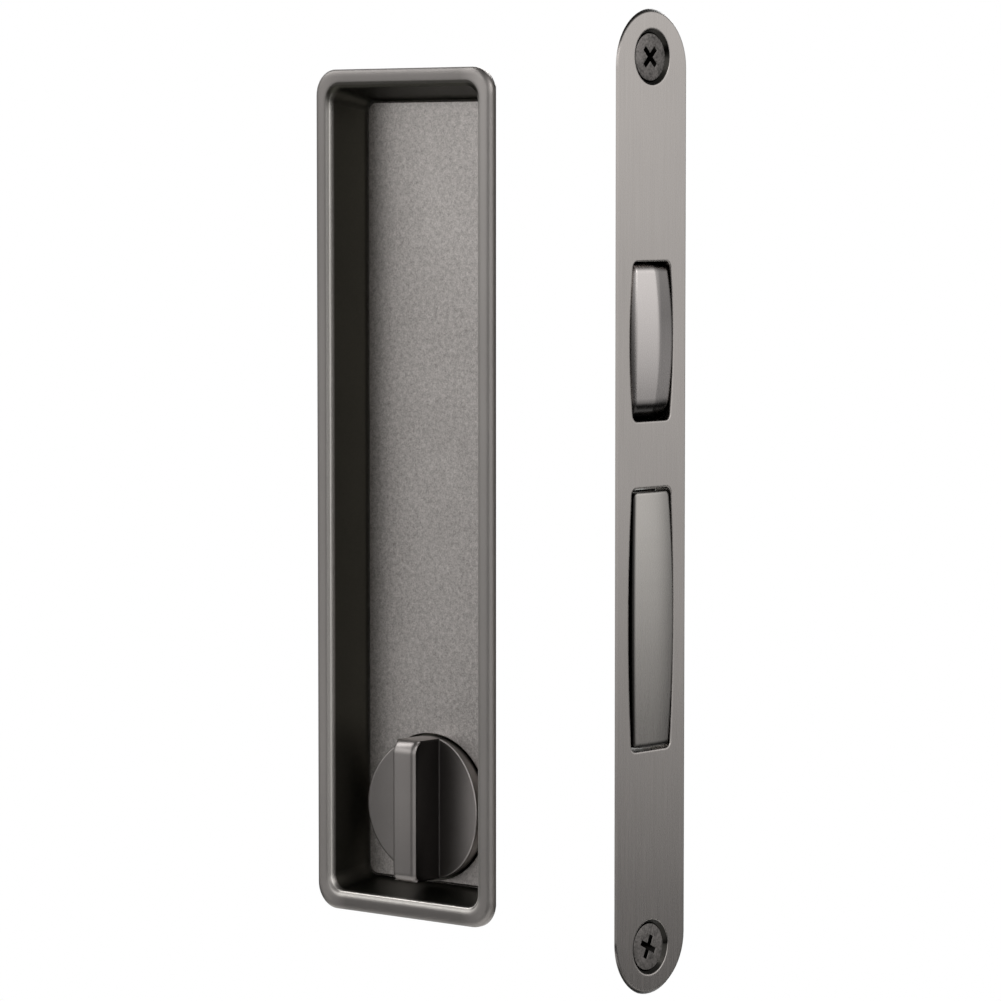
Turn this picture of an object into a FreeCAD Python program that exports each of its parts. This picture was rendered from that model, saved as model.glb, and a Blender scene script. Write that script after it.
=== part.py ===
import FreeCAD, Part
import math
import os
import Sketcher
from FreeCAD import Rotation, Vector

# Sliding door lock for a 40 mm door leaf: a mortise lock with a claw bolt and a swing-out edge
# pull behind a round-ended faceplate, and a recessed flush pull with a thumb-turn.
# Frame: the origin lies on the front of the faceplate, midway between its two screws.
# +X points out of the door edge, -Y out of the door face that carries the flush pull, +Z up.

sizes = {
    # Faceplate and the strip behind it
    "plate_length": 172.0,
    "plate_width": 20.0,
    "plate_thickness": 3.0,
    "plate_edge_bevel": 0.5,
    "strip_length": 168.0,
    "strip_width": 18.0,
    "strip_thickness": 2.0,
    "screw_end_distance": 8.3,
    "screw_hole": 4.4,
    "countersink_width": 9.8,
    # Openings in the faceplate, with bowed long sides
    "bolt_slot_centre": -20.0,
    "bolt_slot_height": 46.0,
    "bolt_slot_end_width": 11.0,
    "bolt_slot_mid_width": 12.7,
    "pull_slot_centre": 28.5,
    "pull_slot_height": 27.8,
    "pull_slot_end_width": 10.4,
    "pull_slot_mid_width": 12.2,
    "slot_corner": 1.4,
    "strip_clearance": 1.0,
    # Wood screws of the faceplate
    "wood_screw_shank": 3.0,
    "wood_screw_thread": 4.0,
    "wood_screw_runout": 0.5,
    "wood_screw_head": 8.0,
    "wood_screw_length": 32.0,
    "screw_seat": 0.02,
    # Lock case
    "case_depth": 61.5,
    "case_top": 50.0,
    "case_bottom": -71.0,
    "case_width": 16.0,
    "case_sheet": 1.2,
    "case_corner": 2.0,
    "pillar_radius": 2.5,
    "pillar_inset": 6.0,
    # Claw bolt
    "bolt_gap": 0.75,
    "bolt_length": 26.85,
    "bolt_projection": 0.85,
    "bolt_crown_radius": 34.0,
    "bolt_bow_radius": 450.0,
    "bolt_guide_clearance": 0.15,
    "bolt_front_wall": 3.55,
    "bolt_window_length": 9.0,
    "bolt_end_wall": 3.0,
    "bolt_corner": 1.0,
    "rack_width": 5.0,
    "rack_bar_height": 3.7,
    "rack_end": 64.5,
    # Claws inside the bolt
    "claw_thickness": 4.0,
    "claw_side_clearance": 0.15,
    "claw_pivot_depth": 20.0,
    "claw_pivot_inset": 11.05,
    "claw_swing": 25.0,
    "claw_pin": 3.0,
    "claw_pin_clearance": 0.05,
    "claw_hub_radius": 3.2,
    "claw_arm_half_height": 2.2,
    "claw_tooth_front": 17.0,
    "claw_tooth_root": 10.5,
    "claw_tooth_height": 8.5,
    "claw_hold_slope": 2.8,
    "claw_tail_wall": 1.3,
    "stud_radius": 1.8,
    "stud_clearance": 0.15,
    "stud_lead": 2.0,
    "stud_drop": 5.5,
    "stud_cheek_clearance": 0.3,
    # Follower, rack gearing and spindle
    "spindle_setback": 39.0,
    "spindle_height": -55.0,
    "gear_module": 1.5,
    "gear_teeth": 15.0,
    "gear_addendum": 1.35,
    "gear_dedendum": 1.875,
    "gear_backlash": 0.3,
    "gear_width": 13.2,
    "turn_angle": 90.0,
    "follower_journal": 6.0,
    "journal_clearance": 0.05,
    "spindle_square": 7.0,
    "spindle_clearance": 0.05,
    "spindle_tail": 6.0,
    "guide_post_radius": 2.4,
    "guide_post_setback": 46.4,
    "guide_clearance": 0.1,
    # Flush pull
    "face_distance": 20.0,
    "rim_length": 150.0,
    "rim_width": 41.0,
    "rim_thickness": 1.5,
    "rim_band": 3.1,
    "rim_corner": 4.5,
    "rim_outer_bevel": 0.5,
    "rim_inner_bevel": 0.4,
    "rim_height_offset": 1.0,
    "tray_wall": 1.5,
    "tray_floor": 2.0,
    "recess_depth": 9.0,
    "recess_corner": 2.7,
    "recess_taper": 2.3,
    "floor_corner": 2.0,
    "panel_thickness": 1.0,
    "panel_clearance": 0.15,
    "panel_chamfer": 0.3,
    "panel_hole_gap": 0.4,
    "tray_screw_spread": 74.0,
    "tray_screw_middle": 5.0,
    "tray_screw_shank": 4.0,
    "tray_screw_head": 7.4,
    "collar_radius": 4.0,
    # Thumb-turn
    "disc_radius": 12.8,
    "disc_proud": 3.0,
    "disc_back_clearance": 0.05,
    "flute_depth": 2.5,
    "flute_radius": 22.0,
    "bar_width": 5.4,
    "bar_sink": 0.1,
    "bar_round": 1.1,
    "hub_radius": 6.0,
    "hub_clearance": 0.05,
    "circlip_thickness": 0.8,
    "circlip_groove": 0.9,
    "circlip_rim": 1.8,
    "circlip_play": 0.1,
    "hub_end": 0.3,
    # Swing-out edge pull
    "pull_gap": 0.5,
    "pull_top_gap": 0.5,
    "pull_heel_gap": 0.8,
    "pull_projection": 0.6,
    "pull_bow": 0.45,
    "pull_wall": 3.0,
    "pull_lip": 3.0,
    "pull_depth": 9.0,
    "pull_heel_round": 2.5,
    "pull_top_round": 1.5,
    "pull_heel_depth": 6.4,
    "pull_boss": 3.2,
    "pull_pivot_setback": 6.5,
    "pull_pivot_height": 24.0,
    "pull_pin": 2.5,
    "pull_pin_clearance": 0.05,
    "pull_facet_width": 4.2,
    "pull_facet_drop": 0.5,
    "pull_bevel_width": 1.0,
    "pull_bevel_drop": 0.5,
    "pull_stop_gap": 0.3,
    "pull_hub_radius": 2.6,
    "pull_side_play": 0.1,
}

document = FreeCAD.newDocument("sliding_door_lock")
sheet = document.addObject("Spreadsheet::Sheet", "Sizes")
for row, (alias, value) in enumerate(sizes.items(), start=1):
    sheet.set(f"A{row}", alias)
    sheet.set(f"B{row}", str(value))
    sheet.setAlias(f"B{row}", alias)
document.recompute()


class Size:
    """A number that keeps the sheet formula it came from."""

    def __init__(self, number, formula):
        self.number = number
        self.formula = formula

    def __add__(self, other):
        other = as_size(other)
        return Size(self.number + other.number, f"({self.formula} + {other.formula})")

    def __sub__(self, other):
        other = as_size(other)
        return Size(self.number - other.number, f"({self.formula} - {other.formula})")

    def __mul__(self, other):
        other = as_size(other)
        return Size(self.number * other.number, f"({self.formula} * {other.formula})")

    def __truediv__(self, other):
        other = as_size(other)
        return Size(self.number / other.number, f"({self.formula} / {other.formula})")

    def __neg__(self):
        return Size(-self.number, f"(0 - {self.formula})")

    def root(self):
        return Size(math.sqrt(self.number), f"sqrt({self.formula})")


def as_size(value):
    if isinstance(value, Size):
        return value
    return Size(float(value), repr(float(value)))


class Sheet:
    """The driving sizes by name."""

    def __getattr__(self, alias):
        return Size(sizes[alias], f"Sizes.{alias}")


s = Sheet()


def bind(thing, target, value):
    thing.setExpression(target, as_size(value).formula)


# Sketches and features

def new_body(label):
    body = document.addObject("PartDesign::Body", label)
    body.Label = label
    return body


def new_sketch(body, role, level=0.0):
    """A sketch on an origin plane, moved along the plane's normal by level."""
    plane = next(item for item in body.Origin.OriginFeatures if item.Role == role)
    sketch = body.newObject("Sketcher::SketchObject", body.Label + "_sketch")
    sketch.AttachmentSupport = [(plane, "")]
    sketch.MapMode = "FlatFace"
    bind(sketch, "AttachmentOffset.Base.z", level)
    return sketch


def side_sketch(body, y):
    """A sketch seen from the door face: X to the right and Z up, at the given Y."""
    return new_sketch(body, "XZ_Plane", -as_size(y))


def edge_sketch(body, x):
    """A sketch seen from the door edge: Y to the right and Z up, at the given X."""
    return new_sketch(body, "YZ_Plane", x)


def pin_point(sketch, geometry, position, across, up):
    for kind, value in (("DistanceX", as_size(across)), ("DistanceY", as_size(up))):
        rule = Sketcher.Constraint(kind, -1, 1, geometry, position, value.number)
        number = sketch.addConstraint(rule)
        bind(sketch, f"Constraints[{number}]", value)


def add_circle(sketch, across, up, radius):
    across, up, radius = as_size(across), as_size(up), as_size(radius)
    centre = Vector(across.number, up.number, 0)
    circle = Part.Circle(centre, Vector(0, 0, 1), radius.number)
    geometry = sketch.addGeometry(circle, False)
    pin_point(sketch, geometry, 3, across, up)
    pin_radius(sketch, geometry, radius)


def pin_radius(sketch, geometry, radius):
    number = sketch.addConstraint(Sketcher.Constraint("Radius", geometry, radius.number))
    bind(sketch, f"Constraints[{number}]", radius)


def flat_point(across, up):
    return Vector(as_size(across).number, as_size(up).number, 0)


def add_arc(sketch, here, there, radius, hollow):
    """An arc of less than half a turn. Returns its number and which of its ends come first."""
    half = (there - here) * 0.5
    inward = Vector(-half.y, half.x, 0).normalize()
    rise = math.sqrt(max(radius ** 2 - half.Length ** 2, 0.0))
    centre = here + half + inward * (-rise if hollow else rise)
    ends = (there, here) if hollow else (here, there)
    angles = [math.atan2(end.y - centre.y, end.x - centre.x) for end in ends]
    circle = Part.Circle(centre, Vector(0, 0, 1), radius)
    number = sketch.addGeometry(Part.ArcOfCircle(circle, angles[0], angles[1]), False)
    return (number, 2, 1) if hollow else (number, 1, 2)


def add_outline(sketch, start, steps):
    """A closed outline, run counter-clockwise.

    A step is its end point. A third value is the radius of an arc that bulges outwards, and a
    fourth, True, makes that arc bulge inwards.
    """
    corners = [start] + [step[:2] for step in steps[:-1]]
    made = []
    for corner, step in zip(corners, steps):
        here = flat_point(*corner)
        there = flat_point(*step[:2])
        if len(step) == 2:
            made.append((sketch.addGeometry(Part.LineSegment(here, there), False), 1, 2))
        else:
            made.append(add_arc(sketch, here, there, as_size(step[2]).number, len(step) == 4))
    for index, (geometry, first, last) in enumerate(made):
        following, following_first, _ = made[(index + 1) % len(made)]
        joint = Sketcher.Constraint("Coincident", geometry, last, following, following_first)
        sketch.addConstraint(joint)
        pin_point(sketch, geometry, first, *corners[index])
        if len(steps[index]) > 2:
            radius = as_size(steps[index][2])
            pin_radius(sketch, geometry, radius)


def add_rectangle(sketch, left, right, bottom, top):
    add_outline(sketch, (left, bottom), [(right, bottom), (right, top), (left, top), (left, bottom)])


def add_round_ended(sketch, length, width):
    """Two straight sides joined by half circles, standing upright about the origin."""
    side = width / 2
    end = (length - width) / 2
    lower = Part.ArcOfCircle(Part.Circle(flat_point(0, -end), Vector(0, 0, 1), side.number),
                             math.pi, 2 * math.pi)
    upper = Part.ArcOfCircle(Part.Circle(flat_point(0, end), Vector(0, 0, 1), side.number),
                             0, math.pi)
    arcs = [sketch.addGeometry(arc, False) for arc in (lower, upper)]
    right = Part.LineSegment(flat_point(side, -end), flat_point(side, end))
    left = Part.LineSegment(flat_point(-side, end), flat_point(-side, -end))
    lines = [sketch.addGeometry(line, False) for line in (right, left)]
    round_trip = [arcs[0], lines[0], arcs[1], lines[1]]
    for number, geometry in enumerate(round_trip):
        following = round_trip[(number + 1) % 4]
        sketch.addConstraint(Sketcher.Constraint("Tangent", geometry, 2, following, 1))
    pin_point(sketch, arcs[0], 3, 0, -end)
    pin_point(sketch, arcs[1], 3, 0, end)
    pin_radius(sketch, arcs[0], side)


def add_barrel(sketch, centre, height, end_width, mid_width):
    """An upright slot shape with straight ends and bowed sides."""
    side = end_width / 2
    rise = (mid_width - end_width) / 2
    bow = (height * height / 4 + rise * rise) / (rise * 2)
    bottom = centre - height / 2
    top = centre + height / 2
    add_outline(sketch, (-side, bottom), [
        (side, bottom),
        (side, top, bow),
        (-side, top),
        (-side, bottom, bow),
    ])


def new_feature(body, kind, sketch):
    feature = body.newObject(kind, body.Label + "_feature")
    feature.Profile = sketch
    sketch.Visibility = False
    return feature


def add_pad(body, sketch, length, backwards=False):
    pad = new_feature(body, "PartDesign::Pad", sketch)
    bind(pad, "Length", length)
    pad.Reversed = backwards
    document.recompute()
    return pad


def add_pocket(body, sketch, length, backwards=False):
    """A pocket that must remove material."""
    before = body.Shape.Volume
    pocket = new_feature(body, "PartDesign::Pocket", sketch)
    bind(pocket, "Length", length)
    pocket.Reversed = backwards
    document.recompute()
    if body.Shape.Volume > before - 1e-6:
        raise RuntimeError(f"a pocket in {body.Label} removes nothing")
    return pocket


def add_loft(body, kind, first, last):
    """A straight-sided solid, or a hollow, between two sketches."""
    loft = new_feature(body, kind, first)
    loft.Sections = [last]
    loft.Ruled = True
    last.Visibility = False
    document.recompute()


def dress_edges(body, kind, names, size):
    """A fillet or chamfer on the named edges of the body's present tip."""
    base = body.Tip
    dress = body.newObject(kind, body.Label + "_edges")
    dress.Base = (base, names)
    bind(dress, "Radius" if kind.endswith("Fillet") else "Size", size)
    document.recompute()
    return dress


def edge_names(shape, wanted):
    """Names of the edges whose midpoint and direction satisfy the given test."""
    names = []
    for number, edge in enumerate(shape.Edges, start=1):
        middle = (edge.FirstParameter + edge.LastParameter) / 2
        point = edge.valueAt(middle)
        direction = edge.tangentAt(middle)
        if wanted(point, direction):
            names.append(f"Edge{number}")
    return names


def near(first, second, slack=0.02):
    return abs(first - second) < slack


# Round parts and other primitives

towards_rear = Rotation(Vector(1, 0, 0), -90)


def place(thing, x, y, z):
    bind(thing, "Placement.Base.x", x)
    bind(thing, "Placement.Base.y", y)
    bind(thing, "Placement.Base.z", z)


def add_rod(label, radius, x, z, front, rear):
    """A cylinder along Y between two levels."""
    rod = document.addObject("Part::Cylinder", label)
    rod.Label = label
    rod.Placement.Rotation = towards_rear
    bind(rod, "Radius", radius)
    bind(rod, "Height", as_size(rear) - front)
    place(rod, x, front, z)
    return rod


def add_box(label, low, high):
    box = document.addObject("Part::Box", label)
    box.Label = label
    for name, first, last in zip(("Length", "Width", "Height"), low, high):
        bind(box, name, as_size(last) - first)
    place(box, *low)
    return box


def add_cut(label, base, *tools):
    """The base with each tool taken out."""
    for number, tool in enumerate(tools):
        cut = document.addObject("Part::Cut", label)
        cut.Base = base
        cut.Tool = tool
        base = cut
        base.Label = label if number == len(tools) - 1 else f"{label}_stage_{number + 1}"
    return base


def add_union(label, *members):
    union = document.addObject("Part::MultiFuse", label)
    union.Label = label
    union.Shapes = list(members)
    return union


def add_group(label, *members):
    """Separate like pieces kept in one node."""
    group = document.addObject("Part::Compound", label)
    group.Label = label
    group.Links = list(members)
    return group


def add_shape(label, shape):
    thing = document.addObject("Part::Feature", label)
    thing.Label = label
    thing.Shape = shape
    return thing


# Places shared by several parts

screw_offset = s.plate_length / 2 - s.screw_end_distance
strip_front = -s.plate_thickness
strip_rear = strip_front - s.strip_thickness
case_rear = strip_rear - s.case_depth
case_front_side = -s.case_width / 2
cover_inside = case_front_side + s.case_sheet
case_rear_side = s.case_width / 2
base_inside = case_rear_side - s.case_sheet
spindle_x = -s.spindle_setback
spindle_z = s.spindle_height
pitch_radius = s.gear_module * s.gear_teeth / 2
bolt_travel = pitch_radius * (math.pi / 180) * s.turn_angle
bolt_height = s.bolt_slot_height - s.bolt_gap * 2
bolt_end_width = s.bolt_slot_end_width - s.bolt_gap * 2
bolt_mid_width = s.bolt_slot_mid_width - s.bolt_gap * 2
bolt_top = s.bolt_slot_centre + bolt_height / 2
bolt_bottom = s.bolt_slot_centre - bolt_height / 2
bolt_rear = s.bolt_projection - s.bolt_length
pitch_line = spindle_z + pitch_radius
rack_root = pitch_line + s.gear_dedendum
rack_top = rack_root + s.rack_bar_height
rim_front = -s.face_distance - s.rim_thickness
rim_back = -s.face_distance
floor_front = rim_front + s.recess_depth
floor_back = floor_front + s.tray_floor
panel_front = floor_front - s.panel_thickness
pull_x = spindle_x
pull_z = s.rim_height_offset
pressure_angle = 20
rack_tooth_count = 6
pinion_tooth_count = 7
claw_pivot_x = -s.claw_pivot_depth
claw_pivot_rise = bolt_height / 2 - s.claw_pivot_inset
stud_x = claw_pivot_x - s.stud_lead
stud_rise = claw_pivot_rise - s.stud_drop
tray_screw_levels = [
    s.tray_screw_middle + s.tray_screw_spread / 2,
    s.tray_screw_middle - s.tray_screw_spread / 2,
]
pull_rear = s.pull_projection - s.pull_depth
pillar_places = [
    (case_rear + s.pillar_inset, s.case_top - s.pillar_inset),
    (case_rear + s.pillar_inset, s.case_bottom + s.pillar_inset),
    (strip_rear - s.pillar_inset, s.case_bottom + s.pillar_inset),
    (pull_rear - s.pull_stop_gap - s.pillar_radius,
     s.pull_slot_centre + s.pull_slot_height / 2 - s.pillar_radius),
]


# Faceplate and backing strip

def screw_hole_rows(sketch, radius):
    add_circle(sketch, 0, screw_offset, radius)
    add_circle(sketch, 0, -screw_offset, radius)


def round_slot_corners(body, slots):
    """Rounds the upright slots at their four corners each."""
    def at_corner(point, direction):
        if abs(direction.x) < 0.99:
            return False
        for centre, height, end_width in slots:
            beside = near(abs(point.y), end_width.number / 2)
            if beside and near(abs(point.z - centre.number), height.number / 2):
                return True
        return False

    dress_edges(body, "PartDesign::Fillet", edge_names(body.Shape, at_corner), s.slot_corner)


def make_faceplate():
    body = new_body("faceplate")
    outline = edge_sketch(body, 0)
    add_round_ended(outline, s.plate_length, s.plate_width)
    add_pad(body, outline, s.plate_thickness, backwards=True)

    def on_front_rim(point, direction):
        return near(point.x, 0)

    rim = edge_names(body.Shape, on_front_rim)
    dress_edges(body, "PartDesign::Chamfer", rim, s.plate_edge_bevel)
    slots = edge_sketch(body, 0)
    add_barrel(slots, s.bolt_slot_centre, s.bolt_slot_height, s.bolt_slot_end_width,
               s.bolt_slot_mid_width)
    add_barrel(slots, s.pull_slot_centre, s.pull_slot_height, s.pull_slot_end_width,
               s.pull_slot_mid_width)
    add_pocket(body, slots, s.plate_thickness)
    round_slot_corners(body, [
        (s.bolt_slot_centre, s.bolt_slot_height, s.bolt_slot_end_width),
        (s.pull_slot_centre, s.pull_slot_height, s.pull_slot_end_width),
    ])
    centres = edge_sketch(body, 0)
    screw_hole_rows(centres, s.screw_hole / 2)
    document.recompute()
    hole = new_feature(body, "PartDesign::Hole", centres)
    hole.DepthType = "ThroughAll"
    bind(hole, "Diameter", s.screw_hole)
    hole.HoleCutType = "Countersink"
    hole.HoleCutCustomValues = True
    hole.HoleCutCountersinkAngle = 90
    bind(hole, "HoleCutDiameter", s.countersink_width)
    document.recompute()
    return body


def make_backing_strip():
    body = new_body("backing_strip")
    outline = edge_sketch(body, strip_front)
    add_round_ended(outline, s.strip_length, s.strip_width)
    add_pad(body, outline, s.strip_thickness, backwards=True)
    openings = edge_sketch(body, strip_front)
    guide = s.bolt_guide_clearance * 2
    add_barrel(openings, s.bolt_slot_centre, bolt_height + guide, bolt_end_width + guide,
               bolt_mid_width + guide)
    extra = s.strip_clearance * 2
    add_barrel(openings, s.pull_slot_centre, s.pull_slot_height + extra,
               s.pull_slot_end_width + extra, s.pull_slot_mid_width + extra)
    screw_hole_rows(openings, s.screw_hole / 2)
    add_pocket(body, openings, s.strip_thickness)
    return body


def make_wood_screw(label, z):
    """A countersunk screw whose head sits down in its countersink."""
    body = new_body(label)
    head = s.wood_screw_head / 2
    shank = s.wood_screw_shank / 2
    thread = s.wood_screw_thread / 2
    head_level = -(s.countersink_width / 2 - head) + s.screw_seat
    neck = head_level - (head - shank)
    thread_start = strip_rear - s.wood_screw_runout
    tip = head_level - s.wood_screw_length
    profile = side_sketch(body, 0)
    add_outline(profile, (tip, 0), [
        (head_level, 0),
        (head_level, head),
        (neck, shank),
        (thread_start, shank),
        (thread_start - (thread - shank), thread),
        (tip, thread),
        (tip, 0),
    ])
    turned = new_feature(body, "PartDesign::Revolution", profile)
    turned.ReferenceAxis = (profile, ["H_Axis"])
    turned.Angle = 360
    place(body, 0, 0, z)
    return body


# Lock case

def round_case_corners(body):
    """Rounds the two corners of the case that lie deep in the door."""
    def at_corner(point, direction):
        ends = (s.case_bottom.number, s.case_top.number)
        deep = near(point.x, case_rear.number)
        return abs(direction.y) > 0.99 and deep and any(near(point.z, end) for end in ends)

    corners = edge_names(body.Shape, at_corner)
    dress_edges(body, "PartDesign::Fillet", corners, s.case_corner)


def add_bearing_holes(sketch):
    """The holes for the follower's journal and for the edge pull's pin."""
    add_circle(sketch, spindle_x, spindle_z, s.follower_journal + s.journal_clearance)
    add_circle(sketch, -s.pull_pivot_setback, s.pull_pivot_height, s.pull_pin / 2)


def make_case_body():
    body = new_body("case_body")
    shell = side_sketch(body, cover_inside)
    add_rectangle(shell, case_rear, strip_rear, s.case_bottom, s.case_top)
    add_pad(body, shell, case_rear_side - cover_inside, backwards=True)
    round_case_corners(body)
    hollow = side_sketch(body, cover_inside)
    add_rectangle(hollow, case_rear + s.case_sheet, strip_rear, s.case_bottom + s.case_sheet,
                  s.case_top - s.case_sheet)
    add_pocket(body, hollow, base_inside - cover_inside)
    holes = side_sketch(body, base_inside)
    add_bearing_holes(holes)
    add_pocket(body, holes, s.case_sheet)
    return body


def make_case_cover():
    """The side plate towards the flush pull, with two tapped collars that carry its screws."""
    body = new_body("case_cover")
    plate = side_sketch(body, cover_inside)
    add_rectangle(plate, case_rear, strip_rear, s.case_bottom, s.case_top)
    add_pad(body, plate, s.case_sheet)
    round_case_corners(body)
    collars = side_sketch(body, case_front_side)
    for level in tray_screw_levels:
        add_circle(collars, pull_x, level, s.collar_radius)
    add_pad(body, collars, case_front_side - floor_back)
    holes = side_sketch(body, floor_back)
    for level in tray_screw_levels:
        add_circle(holes, pull_x, level, s.tray_screw_shank / 2)
    add_bearing_holes(holes)
    add_pocket(body, holes, cover_inside - floor_back)
    return body


def make_pillars():
    """Four hexagonal posts between the side plates. The one behind the edge pull is its stop."""
    posts = []
    for number, (x, z) in enumerate(pillar_places, start=1):
        post = document.addObject("Part::Prism", f"case_post_{number}")
        post.Label = post.Name
        post.Polygon = 6
        post.Placement.Rotation = towards_rear
        bind(post, "Circumradius", s.pillar_radius)
        bind(post, "Height", base_inside - cover_inside)
        place(post, x, cover_inside, z)
        posts.append(post)
    return add_group("case_pillars", *posts)



# Claw bolt

def cut_crowned_face(body, front, middle, half):
    """Cuts a front face that is domed from side to side and bowed from top to bottom."""
    reach = s.bolt_bow_radius
    radius = s.bolt_crown_radius
    edge = reach - (radius - (radius * radius - half * half).root())
    waste = new_sketch(body, "XY_Plane", middle)
    bind(waste, "AttachmentOffset.Base.x", front - reach)
    add_outline(waste, (edge, -half), [
        (reach + 1, -half),
        (reach + 1, half),
        (edge, half),
        (edge, -half, radius, True),
    ])
    groove = new_feature(body, "PartDesign::Groove", waste)
    groove.ReferenceAxis = (waste, ["V_Axis"])
    groove.Midplane = True
    groove.Angle = 10
    document.recompute()


def add_rack_teeth(sketch):
    """Straight-sided teeth below the bar, with a gap over the spindle while the bolt is in."""
    pitch = s.gear_module * math.pi
    slant = math.tan(math.radians(pressure_angle))
    tip = pitch / 4 - s.gear_addendum * slant
    foot = pitch / 4 + s.gear_dedendum * slant
    lowest = pitch_line - s.gear_addendum
    for number in range(rack_tooth_count):
        middle = spindle_x + pitch * (0.5 - number)
        add_outline(sketch, (middle - tip, lowest), [
            (middle + tip, lowest),
            (middle + foot, rack_root),
            (middle - foot, rack_root),
            (middle - tip, lowest),
        ])


def make_claw_bolt():
    """The bolt head fills the lower opening. Its rack runs back below the claws."""
    body = new_body("claw_bolt")
    head = edge_sketch(body, s.bolt_projection)
    add_barrel(head, s.bolt_slot_centre, bolt_height, bolt_end_width, bolt_mid_width)
    add_pad(body, head, s.bolt_length, backwards=True)

    def at_corner(point, direction):
        beside = near(abs(point.y), bolt_end_width.number / 2)
        ends = near(point.z, bolt_top.number) or near(point.z, bolt_bottom.number)
        return abs(direction.x) > 0.99 and beside and ends

    corners = edge_names(body.Shape, at_corner)
    dress_edges(body, "PartDesign::Fillet", corners, s.bolt_corner)
    cut_crowned_face(body, s.bolt_projection, s.bolt_slot_centre, bolt_mid_width / 2 + 1)

    bar_front = bolt_rear + s.bolt_front_wall
    bar = side_sketch(body, -s.rack_width / 2)
    add_rectangle(bar, -s.rack_end, bar_front, rack_root, rack_top)
    add_rack_teeth(bar)
    add_pad(body, bar, s.rack_width, backwards=True)

    room = s.claw_thickness / 2 + s.claw_side_clearance
    window_front = s.bolt_projection - s.bolt_front_wall
    window_rear = window_front - s.bolt_window_length
    wall_top = bolt_top - s.bolt_end_wall
    cavity = side_sketch(body, -room)
    add_outline(cavity, (bolt_rear - 1, rack_top), [
        (window_rear, rack_top),
        (window_rear, bolt_bottom - 1),
        (window_front, bolt_bottom - 1),
        (window_front, bolt_top + 1),
        (window_rear, bolt_top + 1),
        (window_rear, wall_top),
        (bolt_rear - 1, wall_top),
        (bolt_rear - 1, rack_top),
    ])
    add_pocket(body, cavity, room * 2)

    half = bolt_mid_width / 2 + 1
    slot_half = s.stud_radius + s.stud_cheek_clearance
    passages = side_sketch(body, -half)
    for side in (1, -1):
        level = s.bolt_slot_centre + stud_rise * side
        add_rectangle(passages, bolt_rear - 1, stud_x + slot_half, level - slot_half,
                      level + slot_half)
        pivot = s.bolt_slot_centre + claw_pivot_rise * side
        add_circle(passages, claw_pivot_x, pivot, s.claw_pin / 2)
    add_pocket(body, passages, half * 2)
    return body


def cam_point(share, side):
    """Where the fixed stud stands in the claw's own frame after a share of the travel."""
    ahead = stud_x.number - claw_pivot_x.number - bolt_travel.number * share
    drop = -s.stud_drop.number
    turned = math.radians(s.claw_swing.number * share)
    x = ahead * math.cos(turned) + drop * math.sin(turned)
    z = drop * math.cos(turned) - ahead * math.sin(turned)
    return Vector(x, 0, z * side)


def band_face(points, half):
    """A strip with round ends along the arc through three points."""
    centre = Part.Arc(*points).toShape().Curve.Center
    outward = [(point - centre).normalize() * half for point in points]
    outer = [point + step for point, step in zip(points, outward)]
    inner = [point - step for point, step in zip(points, outward)]
    ends = []
    for tip, before in ((points[0], points[1]), (points[2], points[1])):
        across = (tip - centre).normalize()
        along = (tip - before) - across * (tip - before).dot(across)
        ends.append(tip + along.normalize() * half)
    edges = [
        Part.Arc(*outer),
        Part.Arc(outer[2], ends[1], inner[2]),
        Part.Arc(inner[2], inner[1], inner[0]),
        Part.Arc(inner[0], ends[0], outer[0]),
    ]
    return Part.Face(Part.Wire([edge.toShape() for edge in edges]))


def polygon_face(points):
    return Part.Face(Part.makePolygon(points + points[:1]))


def thicken(face, half):
    """A flat face in the XZ plane made into a plate with its middle at Y = 0."""
    plate = face.extrude(Vector(0, 2 * half, 0))
    plate.translate(Vector(0, -half, 0))
    return plate


def y_cylinder(radius, half):
    return Part.makeCylinder(radius, 2 * half, Vector(0, -half, 0), Vector(0, 1, 0))


def make_claw(label, side):
    """A hooked lever about its pivot, swung by a fixed stud in the slot of its tail."""
    half = s.claw_thickness.number / 2
    hub = s.claw_hub_radius.number
    arm = s.claw_arm_half_height.number
    front = s.claw_tooth_front.number
    tooth_root = s.claw_tooth_root.number
    tooth_top = s.claw_tooth_height.number
    slot_half = s.stud_radius.number + s.stud_clearance.number
    path = [cam_point(share, side) for share in (0.0, 0.5, 1.0)]
    lever = polygon_face([
        Vector(0, 0, -arm * side),
        Vector(front, 0, -arm * side),
        Vector(front, 0, tooth_top * side),
        Vector(tooth_root + s.claw_hold_slope.number, 0, tooth_top * side),
        Vector(tooth_root, 0, arm * side),
        Vector(0, 0, arm * side),
    ])
    tail_half = slot_half + s.claw_tail_wall.number
    web = polygon_face([
        Vector(0, 0, hub * side),
        path[1] + Vector(0, 0, tail_half * 0.9 * side),
        path[1],
        path[0],
        Vector(0, 0, -hub * side),
    ])
    solid = y_cylinder(hub, half).fuse([
        thicken(lever, half),
        thicken(web, half),
        thicken(band_face(path, tail_half), half),
    ])
    pin_hole = y_cylinder(s.claw_pin.number / 2 + s.claw_pin_clearance.number, half + 1)
    solid = solid.cut([pin_hole, thicken(band_face(path, slot_half), half + 1)]).removeSplitter()
    claw = add_shape(label, solid)
    place(claw, claw_pivot_x, 0, s.bolt_slot_centre + claw_pivot_rise * side)
    return claw


def make_claw_pins():
    """Two pins across the bolt head and two studs across the case."""
    reach = bolt_end_width / 2
    pins = []
    studs = []
    for side, name in ((1, "upper"), (-1, "lower")):
        level = s.bolt_slot_centre + claw_pivot_rise * side
        pins.append(add_rod(f"{name}_claw_pin", s.claw_pin / 2, claw_pivot_x, level, -reach, reach))
        level = s.bolt_slot_centre + stud_rise * side
        studs.append(add_rod(f"{name}_claw_stud", s.stud_radius, stud_x, level, cover_inside,
                             base_inside))
    return pins + [add_group("claw_studs", *studs)]


# Follower and spindle

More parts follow.
